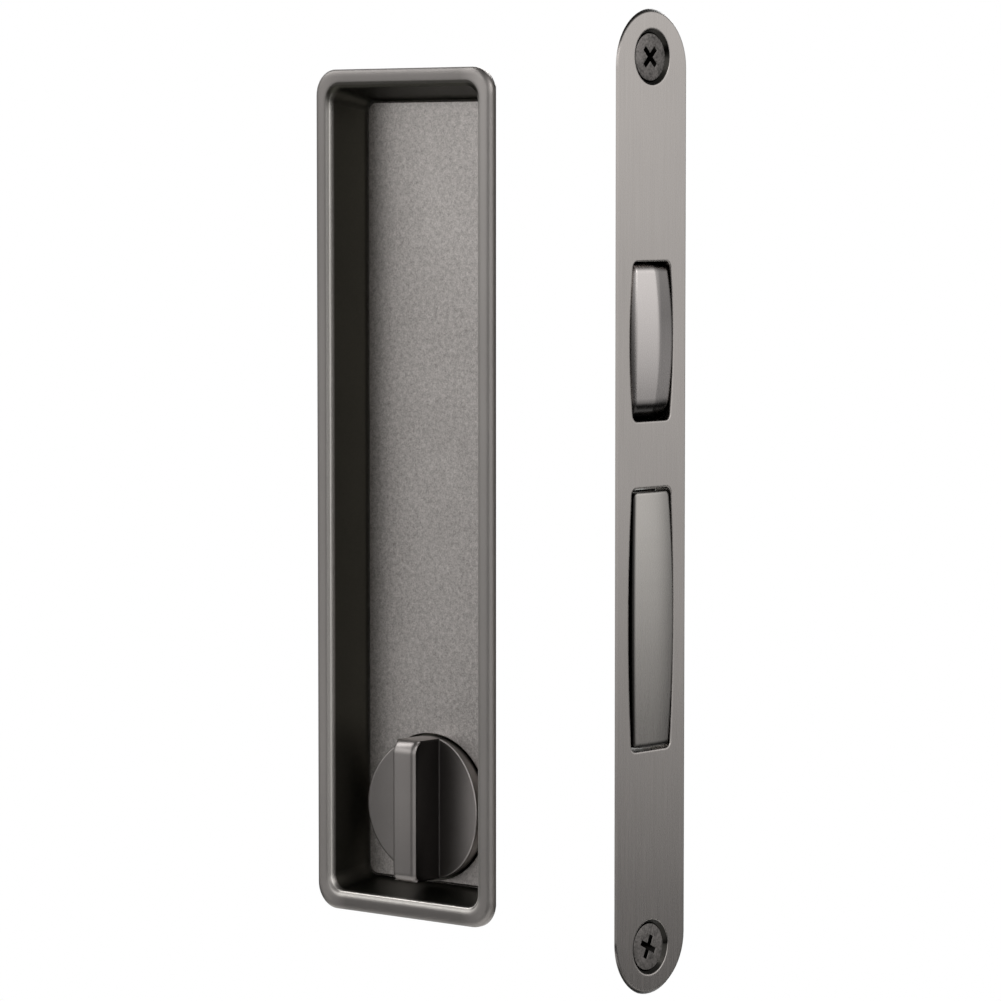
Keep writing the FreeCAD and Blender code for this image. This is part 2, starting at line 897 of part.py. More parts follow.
def involute_turn(base, radius):
    """How far an involute has turned from its start on the base circle to a radius."""
    angle = math.acos(min(base / radius, 1.0))
    return math.tan(angle) - angle


def tooth_face(middle):
    """One tooth with an arc along each involute flank, its middle at an angle from +X to +Z."""
    pitch = pitch_radius.number
    base = pitch * math.cos(math.radians(pressure_angle))
    tip = pitch + s.gear_addendum.number
    foot = pitch - s.gear_dedendum.number
    thickness = math.pi * s.gear_module.number / 2 - s.gear_backlash.number
    at_pitch = thickness / 2 / pitch + involute_turn(base, pitch)

    def flank(radius, side):
        turn = middle + side * (at_pitch - involute_turn(base, max(radius, base)))
        return Vector(radius * math.cos(turn), 0, radius * math.sin(turn))

    start = max(base, foot)
    edges = []
    for side in (-1, 1):
        points = [flank(radius, side) for radius in (start, (start + tip) / 2, tip)]
        edges.append(Part.Arc(*points).toShape())
    crest = Vector(tip * math.cos(middle), 0, tip * math.sin(middle))
    edges.append(Part.Arc(flank(tip, -1), crest, flank(tip, 1)).toShape())
    sunk = foot - s.gear_module.number / 2
    inner = [flank(sunk, -1), flank(sunk, 1)]
    edges.append(Part.makeLine(flank(start, -1), inner[0]))
    edges.append(Part.makeLine(inner[0], inner[1]))
    edges.append(Part.makeLine(inner[1], flank(start, 1)))
    return Part.Face(Part.Wire(Part.__sortEdges__(edges)))


def make_follower():
    """The pinion sector on its hub, with a square hole for the spindle."""
    width = s.gear_width.number / 2
    pitch_angle = 2 * math.pi / s.gear_teeth.number
    solid = y_cylinder(pitch_radius.number - s.gear_dedendum.number, width)
    teeth = []
    for number in range(-1, pinion_tooth_count - 1):
        teeth.append(thicken(tooth_face(math.pi / 2 + number * pitch_angle), width))
    journal_half = s.case_width.number / 2 - s.screw_seat.number
    journal = y_cylinder(s.follower_journal.number, journal_half)
    bore = s.spindle_square.number + 2 * s.spindle_clearance.number
    square = Part.makeBox(bore, 4 * width + s.case_width.number, bore)
    square.translate(Vector(-bore / 2, -2 * width - s.case_width.number / 2, -bore / 2))
    solid = solid.fuse(teeth + [journal]).cut(square).removeSplitter()
    follower = add_shape("follower", solid)
    place(follower, spindle_x, 0, spindle_z)
    return follower


def make_spindle():
    half = s.spindle_square / 2
    return add_box("spindle", (spindle_x - half, disc_back, spindle_z - half),
                   (spindle_x + half, case_rear_side + s.spindle_tail, spindle_z + half))


# Flush pull

def add_rounded_rectangle(sketch, x, z, width, height, corner):
    left, right = x - width / 2, x + width / 2
    bottom, top = z - height / 2, z + height / 2
    add_outline(sketch, (left + corner, bottom), [
        (right - corner, bottom),
        (right, bottom + corner, corner),
        (right, top - corner),
        (right - corner, top, corner),
        (left + corner, top),
        (left, top - corner, corner),
        (left, bottom + corner),
        (left + corner, bottom, corner),
    ])


def make_tray():
    body = new_body("tray")
    opening_width = s.rim_width - s.rim_band * 2
    opening_length = s.rim_length - s.rim_band * 2
    rim = side_sketch(body, rim_back)
    add_rounded_rectangle(rim, pull_x, pull_z, s.rim_width, s.rim_length, s.rim_corner)
    add_pad(body, rim, s.rim_thickness)

    def on_rim_front(point, direction):
        return near(point.y, rim_front.number)

    outer = edge_names(body.Shape, on_rim_front)
    dress_edges(body, "PartDesign::Chamfer", outer, s.rim_outer_bevel)
    bevel = s.rim_inner_bevel
    for kind, ends in (
        ("Additive", ((rim_back, s.tray_wall, s.recess_corner),
                      (floor_back, s.tray_wall - s.recess_taper, s.floor_corner))),
        ("Subtractive", ((rim_front, 0, s.recess_corner),
                         (floor_front, -s.recess_taper, s.floor_corner))),
        ("Subtractive", ((rim_front, bevel, s.recess_corner), (rim_front + bevel, 0, s.recess_corner))),
    ):
        outlines = []
        for level, wider, corner in ends:
            outline = side_sketch(body, level)
            wider = as_size(wider)
            add_rounded_rectangle(outline, pull_x, pull_z, opening_width + wider * 2,
                                  opening_length + wider * 2, corner)
            outlines.append(outline)
        add_loft(body, f"PartDesign::{kind}Loft", *outlines)
    holes = side_sketch(body, floor_front)
    add_circle(holes, spindle_x, spindle_z, s.hub_radius + s.hub_clearance)
    add_pocket(body, holes, s.tray_floor)
    centres = side_sketch(body, floor_front)
    for level in tray_screw_levels:
        add_circle(centres, pull_x, level, s.tray_screw_shank / 2)
    document.recompute()
    hole = new_feature(body, "PartDesign::Hole", centres)
    hole.DepthType = "ThroughAll"
    bind(hole, "Diameter", s.tray_screw_shank)
    hole.HoleCutType = "Countersink"
    hole.HoleCutCustomValues = True
    hole.HoleCutCountersinkAngle = 90
    bind(hole, "HoleCutDiameter", s.tray_screw_head)
    document.recompute()
    return body


def make_floor_panel():
    """A separate plate on the floor of the recess. It hides the fixing screws."""
    body = new_body("floor_panel")
    margin = (s.rim_band + s.recess_taper + s.panel_clearance) * 2
    plate = side_sketch(body, floor_front)
    add_rounded_rectangle(plate, pull_x, pull_z, s.rim_width - margin, s.rim_length - margin,
                          s.floor_corner)
    add_pad(body, plate, s.panel_thickness)

    def on_panel_front(point, direction):
        return near(point.y, panel_front.number)

    rim = edge_names(body.Shape, on_panel_front)
    dress_edges(body, "PartDesign::Chamfer", rim, s.panel_chamfer)
    hole = side_sketch(body, panel_front)
    add_circle(hole, spindle_x, spindle_z, s.disc_radius + s.panel_hole_gap)
    add_pocket(body, hole, s.panel_thickness)
    return body


def make_tray_screws():
    """Two countersunk screws from the tray's floor into the collars of the case cover."""
    screws = []
    head_front = floor_front + s.screw_seat * 2
    head_height = (s.tray_screw_head - s.tray_screw_shank) / 2
    for number, level in enumerate(tray_screw_levels, start=1):
        head = document.addObject("Part::Cone", f"tray_screw_head_{number}")
        head.Placement.Rotation = towards_rear
        bind(head, "Radius1", s.tray_screw_head / 2 - s.screw_seat * 2)
        bind(head, "Radius2", s.tray_screw_shank / 2 - s.screw_seat * 2)
        bind(head, "Height", head_height)
        place(head, pull_x, head_front, level)
        shank = add_rod(f"tray_screw_shank_{number}", s.tray_screw_shank / 2 - s.screw_seat * 2,
                        pull_x, level, head_front + head_height, cover_inside - s.screw_seat)
        screws.append(add_union(f"tray_screw_{number}", head, shank))
    return add_group("tray_screws", *screws)


# Thumb-turn

disc_front = panel_front - s.disc_proud
disc_back = floor_front - s.disc_back_clearance
bar_front = rim_front + s.bar_sink
groove_front = floor_back + s.circlip_play
groove_back = groove_front + s.circlip_thickness + s.circlip_play
hub_back = groove_back + s.hub_end


def make_turn_knob():
    """A disc with a grip bar left standing between two flutes, on a hub with a square socket."""
    body = new_body("turn_knob")
    profile = new_sketch(body, "XY_Plane")
    groove_radius = s.hub_radius - s.circlip_groove
    add_outline(profile, (0, bar_front), [
        (s.disc_radius, bar_front),
        (s.disc_radius, disc_back),
        (s.hub_radius, disc_back),
        (s.hub_radius, groove_front),
        (groove_radius, groove_front),
        (groove_radius, groove_back),
        (s.hub_radius, groove_back),
        (s.hub_radius, hub_back),
        (0, hub_back),
        (0, bar_front),
    ])
    turned = new_feature(body, "PartDesign::Revolution", profile)
    turned.ReferenceAxis = (profile, ["V_Axis"])
    turned.Angle = 360
    document.recompute()
    half = s.bar_width / 2
    reach = s.disc_radius + 1
    flutes = new_sketch(body, "XY_Plane", s.disc_radius + 1)
    add_outline(flutes, (half, bar_front - 1), [
        (reach, bar_front - 1),
        (reach, disc_front),
        (half, disc_front + s.flute_depth, s.flute_radius),
        (half, bar_front - 1),
    ])
    add_outline(flutes, (-reach, bar_front - 1), [
        (-half, bar_front - 1),
        (-half, disc_front + s.flute_depth),
        (-reach, disc_front, s.flute_radius),
        (-reach, bar_front - 1),
    ])
    add_pocket(body, flutes, s.disc_radius * 2 + 2)

    def on_bar_front(point, direction):
        return near(point.y, bar_front.number)

    bar = edge_names(body.Shape, on_bar_front)
    dress_edges(body, "PartDesign::Fillet", bar, s.bar_round)
    socket = side_sketch(body, disc_back)
    side = s.spindle_square / 2 + s.spindle_clearance
    add_rectangle(socket, -side, side, -side, side)
    add_pocket(body, socket, hub_back - disc_back)
    place(body, spindle_x, 0, spindle_z)
    return body


def make_knob_circlip():
    """The open ring behind the tray's floor that holds the knob in."""
    outer = s.hub_radius + s.circlip_rim
    clip_front = groove_front + s.circlip_play / 2
    ring = add_rod("circlip_disc", outer, spindle_x, spindle_z, clip_front,
                   clip_front + s.circlip_thickness)
    seat = s.hub_radius - s.circlip_groove + s.hub_clearance
    hole = add_rod("circlip_hole", seat, spindle_x, spindle_z, groove_front - 1, groove_back + 1)
    mouth = add_box("circlip_mouth", (spindle_x - seat / 2, groove_front - 1, spindle_z - outer * 2),
                    (spindle_x + seat / 2, groove_back + 1, spindle_z))
    return add_cut("knob_circlip", ring, hole, mouth)



# Swing-out edge pull

def make_edge_pull():
    """A finger pull about a cross pin. Its heel goes in as its lip swings out."""
    body = new_body("edge_pull")
    front = s.pull_projection + s.pull_pivot_setback
    slot_middle = s.pull_slot_centre - s.pull_pivot_height
    bottom = slot_middle - s.pull_slot_height / 2 + s.pull_heel_gap
    top = slot_middle + s.pull_slot_height / 2 - s.pull_top_gap
    end_width = s.pull_slot_end_width - s.pull_gap * 2
    mid_width = s.pull_slot_mid_width - s.pull_gap * 2
    half = mid_width / 2
    profile = side_sketch(body, -half)
    lip_rear = front - s.pull_depth
    wall_rear = front - s.pull_wall
    face_end = front - s.pull_bow
    face_bottom = bottom + s.pull_heel_round
    face_top = top - s.pull_top_round
    chord = face_top - face_bottom
    bow_radius = (chord * chord / 4 + s.pull_bow * s.pull_bow) / (s.pull_bow * 2)
    add_outline(profile, (front - s.pull_heel_depth, bottom), [
        (face_end - s.pull_heel_round, bottom),
        (face_end, face_bottom, s.pull_heel_round),
        (face_end, face_top, bow_radius),
        (face_end - s.pull_top_round, top, s.pull_top_round),
        (lip_rear, top),
        (lip_rear, top - s.pull_lip),
        (wall_rear, top - s.pull_lip),
        (wall_rear, s.pull_boss),
        (0, s.pull_boss),
        (-s.pull_boss, 0, s.pull_boss),
        (front - s.pull_heel_depth, bottom),
    ])
    add_pad(body, profile, mid_width, backwards=True)
    trim = edge_sketch(body, front + 1)
    add_rectangle(trim, -half - 1, half + 1, bottom - 1, top + 1)
    add_barrel(trim, (top + bottom) / 2, top - bottom, end_width, mid_width)
    add_pocket(body, trim, s.pull_depth + 3)

    for side, width, drop in (
        (1, s.pull_facet_width, s.pull_facet_drop),
        (-1, s.pull_bevel_width, s.pull_bevel_drop),
    ):
        def on_long_front_edge(point, direction):
            beside = abs(point.y * side - half.number) < 0.5
            return beside and abs(direction.z) > 0.9 and point.x > face_end.number - 0.1

        edges = edge_names(body.Shape, on_long_front_edge)
        facet = dress_edges(body, "PartDesign::Chamfer", edges, width)
        facet.ChamferType = "Two distances"
        bind(facet, "Size2", drop)
        document.recompute()
    reach = base_inside - s.pull_side_play
    hub = side_sketch(body, -reach)
    add_circle(hub, 0, 0, s.pull_hub_radius)
    add_pad(body, hub, reach * 2, backwards=True)
    hole = side_sketch(body, -reach - 1)
    add_circle(hole, 0, 0, s.pull_pin / 2 + s.pull_pin_clearance)
    add_pocket(body, hole, reach * 2 + 2)
    place(body, -s.pull_pivot_setback, 0, s.pull_pivot_height)
    return body


def make_pull_pin():
    return add_rod("edge_pull_pin", s.pull_pin / 2, -s.pull_pivot_setback, s.pull_pivot_height,
                   case_front_side, case_rear_side)


def make_guide_post():
    """The post that holds the rack down on the pinion."""
    level = rack_top + s.guide_clearance + s.guide_post_radius
    return add_rod("rack_guide_post", s.guide_post_radius, -s.guide_post_setback, level,
                   cover_inside, base_inside)


nodes = [
    make_faceplate(),
    make_backing_strip(),
    make_wood_screw("upper_plate_screw", screw_offset),
    make_wood_screw("lower_plate_screw", -screw_offset),
    make_case_body(),
    make_case_cover(),
    make_pillars(),
    make_claw_bolt(),
    make_claw("upper_claw", 1),
    make_claw("lower_claw", -1),
    *make_claw_pins(),
    make_guide_post(),
    make_follower(),
    make_spindle(),
    make_tray(),
    make_floor_panel(),
    make_tray_screws(),
    make_turn_knob(),
    make_knob_circlip(),
    make_edge_pull(),
    make_pull_pin(),
]

document.recompute()
for item in document.Objects:
    if {"Invalid", "Error"} & set(item.State):
        raise RuntimeError(f"{item.Label} failed: {item.State}")
for node in nodes:
    if node.Shape.isNull() or not node.Shape.isValid() or not node.Shape.Solids:
        raise RuntimeError(f"{node.Label} has no sound shape")

os.makedirs("parts", exist_ok=True)
for node in nodes:
    node.Shape.exportStep(os.path.join("parts", node.Label + ".step"))
    box = node.Shape.BoundBox
    print(f"{node.Label}: {len(node.Shape.Solids)} solid, {node.Shape.Volume:.1f} mm3, "
          f"x {box.XMin:.2f} to {box.XMax:.2f}, y {box.YMin:.2f} to {box.YMax:.2f}, "
          f"z {box.ZMin:.2f} to {box.ZMax:.2f}")
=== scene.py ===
import math

import bmesh
import bpy
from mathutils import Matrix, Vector


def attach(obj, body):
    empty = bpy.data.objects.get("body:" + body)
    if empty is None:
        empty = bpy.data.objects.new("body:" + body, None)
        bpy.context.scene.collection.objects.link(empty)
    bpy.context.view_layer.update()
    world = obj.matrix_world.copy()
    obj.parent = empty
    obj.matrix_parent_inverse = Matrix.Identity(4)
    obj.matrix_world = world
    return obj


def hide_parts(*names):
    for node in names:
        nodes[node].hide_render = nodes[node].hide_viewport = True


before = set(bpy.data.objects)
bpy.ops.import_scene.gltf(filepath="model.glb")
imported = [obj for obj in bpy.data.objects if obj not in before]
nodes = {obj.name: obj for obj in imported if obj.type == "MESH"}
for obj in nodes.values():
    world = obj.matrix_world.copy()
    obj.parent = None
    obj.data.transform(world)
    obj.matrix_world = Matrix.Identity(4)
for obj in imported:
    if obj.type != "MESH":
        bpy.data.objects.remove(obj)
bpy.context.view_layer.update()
bpy.ops.object.select_all(action="DESELECT")
mm = 0.001
print("frame loaded:", len(nodes), "pieces")


# Small helpers for modelling

def active():
    return bpy.context.view_layer.objects.active


def deselect():
    if bpy.context.object and bpy.context.object.mode == "EDIT":
        bpy.ops.object.mode_set(mode="OBJECT")
    bpy.ops.object.select_all(action="DESELECT")


def pick(piece):
    deselect()
    piece.select_set(True)
    bpy.context.view_layer.objects.active = piece


def applyPlace(piece):
    pick(piece)
    bpy.ops.object.transform_apply(location=True, rotation=True, scale=True)


def applyModifiers(piece):
    pick(piece)
    for modifier in list(piece.modifiers):
        bpy.ops.object.modifier_apply(modifier=modifier.name)


def shadeByAngle(piece, angle=35):
    pick(piece)
    bpy.ops.object.shade_smooth_by_angle(angle=math.radians(angle))


def selectFaces(piece, test):
    # leaves edit mode on, with the faces selected whose centre and normal pass the test
    pick(piece)
    bpy.ops.object.mode_set(mode="EDIT")
    bpy.ops.mesh.select_mode(type="FACE")
    bpy.ops.mesh.select_all(action="DESELECT")
    cage = bmesh.from_edit_mesh(piece.data)
    for face in cage.faces:
        if test(face.calc_center_median(), face.normal):
            face.select_set(True)
    cage.select_flush(True)
    bmesh.update_edit_mesh(piece.data)


def selectEdges(piece, test):
    pick(piece)
    bpy.ops.object.mode_set(mode="EDIT")
    bpy.ops.mesh.select_mode(type="EDGE")
    bpy.ops.mesh.select_all(action="DESELECT")
    cage = bmesh.from_edit_mesh(piece.data)
    for edge in cage.edges:
        if test(edge.verts[0].co, edge.verts[1].co):
            edge.select_set(True)
    bmesh.update_edit_mesh(piece.data)


def carve(piece, cutter):
    cut = piece.modifiers.new("carve", "BOOLEAN")
    cut.operation = "DIFFERENCE"
    cut.solver = "EXACT"
    cut.object = cutter
    applyModifiers(piece)
    bpy.data.objects.remove(cutter, do_unlink=True)


def makeBlock(place, size):
    # a box, both in millimetres
    bpy.ops.mesh.primitive_cube_add(size=1, location=[value * mm for value in place])
    block = active()
    block.scale = [value * mm for value in size]
    applyPlace(block)
    return block


def makeDrum(place, radius, depth, vertices, axis="Z"):
    # a cylinder along Z or X, in millimetres
    turn = (0, math.radians(90), 0) if axis == "X" else (0, 0, 0)
    bpy.ops.mesh.primitive_cylinder_add(vertices=vertices, radius=radius * mm, depth=depth * mm,
                                        location=[value * mm for value in place], rotation=turn)
    drum = active()
    applyPlace(drum)
    return drum


def windOutline(name, corners, steps, merge, turns=1, rise=0.0):
    # a line through corners in millimetres, wound round Z by a Screw modifier
    bpy.ops.mesh.primitive_plane_add(size=1)
    piece = active()
    piece.name = name
    cage = bmesh.new()
    spots = [cage.verts.new([value * mm for value in corner]) for corner in corners]
    for first, second in zip(spots, spots[1:]):
        cage.edges.new((first, second))
    cage.to_mesh(piece.data)
    cage.free()
    wind = piece.modifiers.new("wind", "SCREW")
    wind.axis = "Z"
    wind.angle = math.radians(360)
    wind.screw_offset = rise * mm
    wind.iterations = turns
    wind.steps = wind.render_steps = steps
    wind.use_merge_vertices = True
    wind.merge_threshold = merge
    applyModifiers(piece)
    return piece


def joinPieces(name, pieces):
    deselect()
    for piece in pieces:
        piece.select_set(True)
    bpy.context.view_layer.objects.active = pieces[0]
    bpy.ops.object.join()
    joined = active()
    joined.name = name
    joined.data.name = name
    return joined


# Node groups that several finishes share

def newGroup(name, inputs, outputs):
    group = bpy.data.node_groups.new(name, "ShaderNodeTree")
    for label, kind, value in inputs:
        socket = group.interface.new_socket(name=label, in_out="INPUT", socket_type=kind)
        if value is not None:
            socket.default_value = value
    for label, kind in outputs:
        group.interface.new_socket(name=label, in_out="OUTPUT", socket_type=kind)
    start = group.nodes.new("NodeGroupInput")
    end = group.nodes.new("NodeGroupOutput")
    return group, start, end


def addMath(tree, operation, first, second=None, clamp=False):
    node = tree.nodes.new("ShaderNodeMath")
    node.operation = operation
    node.use_clamp = clamp
    for slot, value in enumerate((first, second)):
        if value is None:
            continue
        if isinstance(value, (int, float)):
            node.inputs[slot].default_value = value
        else:
            tree.links.new(value, node.inputs[slot])
    return node.outputs[0]


def addRamp(tree, value, start, reach):
    # 0 up to start and 1 from start + reach on; a negative reach rises the other way
    return addMath(tree, "DIVIDE", addMath(tree, "SUBTRACT", value, start), reach, clamp=True)


def addBlend(tree, share, first, second):
    # first where share is 0, second where it is 1
    step = addMath(tree, "MULTIPLY", share, addMath(tree, "SUBTRACT", second, first))
    return addMath(tree, "ADD", step, first)


def splitAxes(tree, place):
    axes = tree.nodes.new("ShaderNodeSeparateXYZ")
    tree.links.new(place, axes.inputs[0])
    return axes.outputs


def makeGrainGroup():
    # grain stretched by Scale: streaks for a brushed face, even specks for a blasted one
    group, start, end = newGroup("grain", [
        ("Position", "NodeSocketVector", None),
        ("Scale", "NodeSocketVector", (1000, 1000, 1000)),
        ("Roughness", "NodeSocketFloat", 0.6),
    ], [("Height", "NodeSocketFloat"), ("Tone", "NodeSocketFloat")])
    stretch = group.nodes.new("ShaderNodeVectorMath")
    stretch.operation = "MULTIPLY"
    group.links.new(start.outputs["Position"], stretch.inputs[0])
    group.links.new(start.outputs["Scale"], stretch.inputs[1])
    fine = group.nodes.new("ShaderNodeTexNoise")
    fine.inputs["Scale"].default_value = 1.0
    fine.inputs["Detail"].default_value = 3.0
    group.links.new(stretch.outputs[0], fine.inputs["Vector"])
    group.links.new(start.outputs["Roughness"], fine.inputs["Roughness"])
    coarse = group.nodes.new("ShaderNodeTexNoise")
    coarse.inputs["Scale"].default_value = 0.31
    coarse.inputs["Detail"].default_value = 2.0
    group.links.new(stretch.outputs[0], coarse.inputs["Vector"])
    mixed = addMath(group, "ADD", addMath(group, "MULTIPLY", fine.outputs["Fac"], 0.7),
                    addMath(group, "MULTIPLY", coarse.outputs["Fac"], 0.3))
    group.links.new(mixed, end.inputs["Height"])
    tone = addMath(group, "MULTIPLY", addMath(group, "SUBTRACT", mixed, 0.5), 2.0)
    group.links.new(tone, end.inputs["Tone"])
    return group


def makeCloudGroup():
    # slow drifts of tone over a plated surface
    group, start, end = newGroup("cloud", [
        ("Position", "NodeSocketVector", None),
        ("Size", "NodeSocketFloat", 60.0),
    ], [("Tone", "NodeSocketFloat")])
    noise = group.nodes.new("ShaderNodeTexNoise")
    noise.inputs["Detail"].default_value = 2.0
    noise.inputs["Roughness"].default_value = 0.45
    group.links.new(start.outputs["Position"], noise.inputs["Vector"])
    group.links.new(start.outputs["Size"], noise.inputs["Scale"])
    tone = addMath(group, "MULTIPLY", addMath(group, "SUBTRACT", noise.outputs["Fac"], 0.5), 2.0)
    group.links.new(tone, end.inputs["Tone"])
    return group


def makeEdgeGroup():
    # mask that is 1 along edges, for wear and a painted highlight, from how far a rounded normal leans off
    # the true one
    group, start, end = newGroup("edgeWearAndHighlight", [
        ("Rounded", "NodeSocketVector", None),
        ("Sharp", "NodeSocketVector", None),
        ("Gain", "NodeSocketFloat", 3.0),
    ], [("Mask", "NodeSocketFloat")])
    lean = group.nodes.new("ShaderNodeVectorMath")
    lean.operation = "DOT_PRODUCT"
    group.links.new(start.outputs["Rounded"], lean.inputs[0])
    group.links.new(start.outputs["Sharp"], lean.inputs[1])
    off = addMath(group, "SUBTRACT", 1.0, lean.outputs["Value"])
    mask = addMath(group, "MULTIPLY", off, start.outputs["Gain"], clamp=True)
    group.links.new(mask, end.inputs["Mask"])
    return group


grainGroup = makeGrainGroup()
cloudGroup = makeCloudGroup()
edgeGroup = makeEdgeGroup()
print("node groups made")


# Finishes

def addGroup(tree, group, **values):
    node = tree.nodes.new("ShaderNodeGroup")
    node.node_tree = group
    for label, value in values.items():
        if isinstance(value, bpy.types.NodeSocket):
            tree.links.new(value, node.inputs[label])
        else:
            node.inputs[label].default_value = value
    return node


def mixColour(tree, share, first, second):
    node = tree.nodes.new("ShaderNodeMix")
    node.data_type = "RGBA"
    tree.links.new(share, node.inputs["Factor"])
    for label, value in (("A", first), ("B", second)):
        socket = [s for s in node.inputs if s.name == label and s.type == "RGBA"][0]
        if isinstance(value, bpy.types.NodeSocket):
            tree.links.new(value, socket)
        else:
            socket.default_value = (*value, 1)
    return [s for s in node.outputs if s.type == "RGBA"][0]


def makeMetal(name, look):
    finish = bpy.data.materials.new(name)
    finish.use_nodes = True
    tree = finish.node_tree
    shader = tree.nodes["Principled BSDF"]
    place = tree.nodes.new("ShaderNodeTexCoord").outputs["Object"]
    geometry = tree.nodes.new("ShaderNodeNewGeometry")
    rounded = tree.nodes.new("ShaderNodeBevel")
    rounded.samples = 8
    rounded.inputs["Radius"].default_value = look["edgeRadius"]
    grain = addGroup(tree, grainGroup, Position=place, Scale=look["grainScale"],
                     Roughness=look.get("grainRoughness", 0.6))
    cloud = addGroup(tree, cloudGroup, Position=place, Size=look["cloudSize"])
    edges = addGroup(tree, edgeGroup, Rounded=rounded.outputs[0], Sharp=geometry.outputs["Normal"],
                     Gain=look["edgeGain"])
    share = addMath(tree, "ADD", addMath(tree, "MULTIPLY", grain.outputs["Tone"], look["grainTone"]),
                    addMath(tree, "MULTIPLY", cloud.outputs["Tone"], look["cloudTone"]))
    share = addMath(tree, "ADD", share, 0.5, clamp=True)
    colour = mixColour(tree, share, look["darkColour"], look["lightColour"])
    # edges take edgeColour: partly wear, partly a painted highlight along the rounded edges
    colour = mixColour(tree, edges.outputs["Mask"], colour, look["edgeColour"])
    # rim, shade, facet and bow scale the colour for painted light and shade; outline and sinks mix in painted
    # shade
    for part, makeGain in (("rim", rimPaintedLightGain), ("shade", shadeGain), ("facet", facetShadeGain), ("bow", bowShadeGain)):
        if part in look:
            colour = scaleColour(tree, colour, makeGain(tree, place, look[part]))
    for part, makeMask in (("outline", endShadeMask), ("sinks", sinkShadeMask)):
        if part in look:
            colour = mixColour(tree, makeMask(tree, place, look[part]), colour, look[part]["colour"])
    # the inside is darker, and its inner edge gets painted shade and a painted highlight
    if "recess" in look:
        colour = darkenInsidePaintLipLight(tree, place, share, edges.outputs["Mask"], colour, look["recess"])
    tree.links.new(colour, shader.inputs["Base Color"])
    rough = addMath(tree, "MULTIPLY", grain.outputs["Tone"], look["roughnessSpread"])
    rough = addMath(tree, "ADD", rough, look["roughness"], clamp=True)
    tree.links.new(rough, shader.inputs["Roughness"])
    shader.inputs["Metallic"].default_value = look["metallic"]
    if "brushed" in look:  # the grooves spread a highlight across themselves
        across = tree.nodes.new("ShaderNodeCombineXYZ")
        across.inputs["Y"].default_value = 1.0
        tree.links.new(across.outputs[0], shader.inputs["Tangent"])
        shader.inputs["Anisotropic"].default_value = look["brushed"]
    bump = tree.nodes.new("ShaderNodeBump")
    bump.inputs["Distance"].default_value = look["grainDepth"]
    bump.inputs["Strength"].default_value = 1.0
    tree.links.new(grain.outputs["Height"], bump.inputs["Height"])
    tree.links.new(rounded.outputs[0], bump.inputs["Normal"])
    tree.links.new(bump.outputs[0], shader.inputs["Normal"])
    return finish


def scaleColour(tree, colour, gain):
    scaled = tree.nodes.new("ShaderNodeVectorMath")
    scaled.operation = "SCALE"
    tree.links.new(colour, scaled.inputs[0])
    tree.links.new(gain, scaled.inputs["Scale"])
    return scaled.outputs[0]


def rimPaintedLightGain(tree, place, rim):
    # painted light and shade: the rim's long sides are painted lighter than its short ends, the right side
    # lightest, the left side lighter towards the bottom
    axes = splitAxes(tree, place)
    across = addMath(tree, "SUBTRACT", axes["X"], rim["middle"])
    side = addRamp(tree, addMath(tree, "ABSOLUTE", across), rim["start"], rim["fade"])
    low = addRamp(tree, axes["Z"], rim["top"], -rim["height"])
    left = addMath(tree, "ADD", addMath(tree, "MULTIPLY", low, rim["leftRise"]), rim["left"])
    onRight = addMath(tree, "GREATER_THAN", across, 0.0)
    return addBlend(tree, side, rim["ends"], addBlend(tree, onRight, left, rim["right"]))


def shadeGain(tree, place, shade):
    # painted shade and light: the bar's right side is painted dark, and the hollow beside it is painted
    # lighter outwards
    across = addMath(tree, "SUBTRACT", splitAxes(tree, place)["X"], shade["middle"])
    pastSide = addMath(tree, "GREATER_THAN", across, shade["side"])
    inHollow = addMath(tree, "GREATER_THAN", across, shade["hollow"])
    outwards = addRamp(tree, across, shade["hollow"], shade["reach"])
    outwards = addMath(tree, "ADD", addMath(tree, "MULTIPLY", outwards, shade["growth"]), shade["hollowGain"])
    return addBlend(tree, pastSide, 1.0, addBlend(tree, inHollow, shade["sideGain"], outwards))


def facetShadeGain(tree, place, facet):
    # painted shade: the edge pull's facet is painted darker at the top, and its lower round and left edge are
    # painted dark
    axes = splitAxes(tree, place)
    side = addMath(tree, "MULTIPLY", addRamp(tree, axes["Y"], *facet["across"]),
                   addRamp(tree, axes["Z"], *facet["along"]))
    low = addRamp(tree, axes["Z"], *facet["low"])
    front = addMath(tree, "GREATER_THAN", axes["X"], facet["front"])
    left = addMath(tree, "MULTIPLY", addRamp(tree, axes["Y"], *facet["left"]), front)
    gain = 1.0
    for share, dark in ((side, facet["sideDark"]), (low, facet["lowDark"]), (left, facet["leftDark"])):
        lit = addMath(tree, "SUBTRACT", 1.0, addMath(tree, "MULTIPLY", share, dark))
        gain = addMath(tree, "MULTIPLY", gain, lit)
    return gain


def bowShadeGain(tree, place, bow):
    # painted shade: the bolt's front is painted dark along its bowed left edge and its lower edge
    axes = splitAxes(tree, place)
    rise = addMath(tree, "POWER", addMath(tree, "SUBTRACT", axes["Z"], bow["middle"]), 2)
    spot = addMath(tree, "SUBTRACT", axes["Y"], addMath(tree, "DIVIDE", rise, 2 * bow["radius"]))
    left = addRamp(tree, spot, bow["edge"], -bow["fade"])
    low = addRamp(tree, axes["Z"], bow["low"], -bow["fade"])
    dark = addMath(tree, "MULTIPLY", addMath(tree, "MAXIMUM", left, low), bow["dark"])
    dark = addMath(tree, "MULTIPLY", dark, addMath(tree, "GREATER_THAN", axes["X"], bow["front"]))
    return addMath(tree, "SUBTRACT", 1.0, dark)


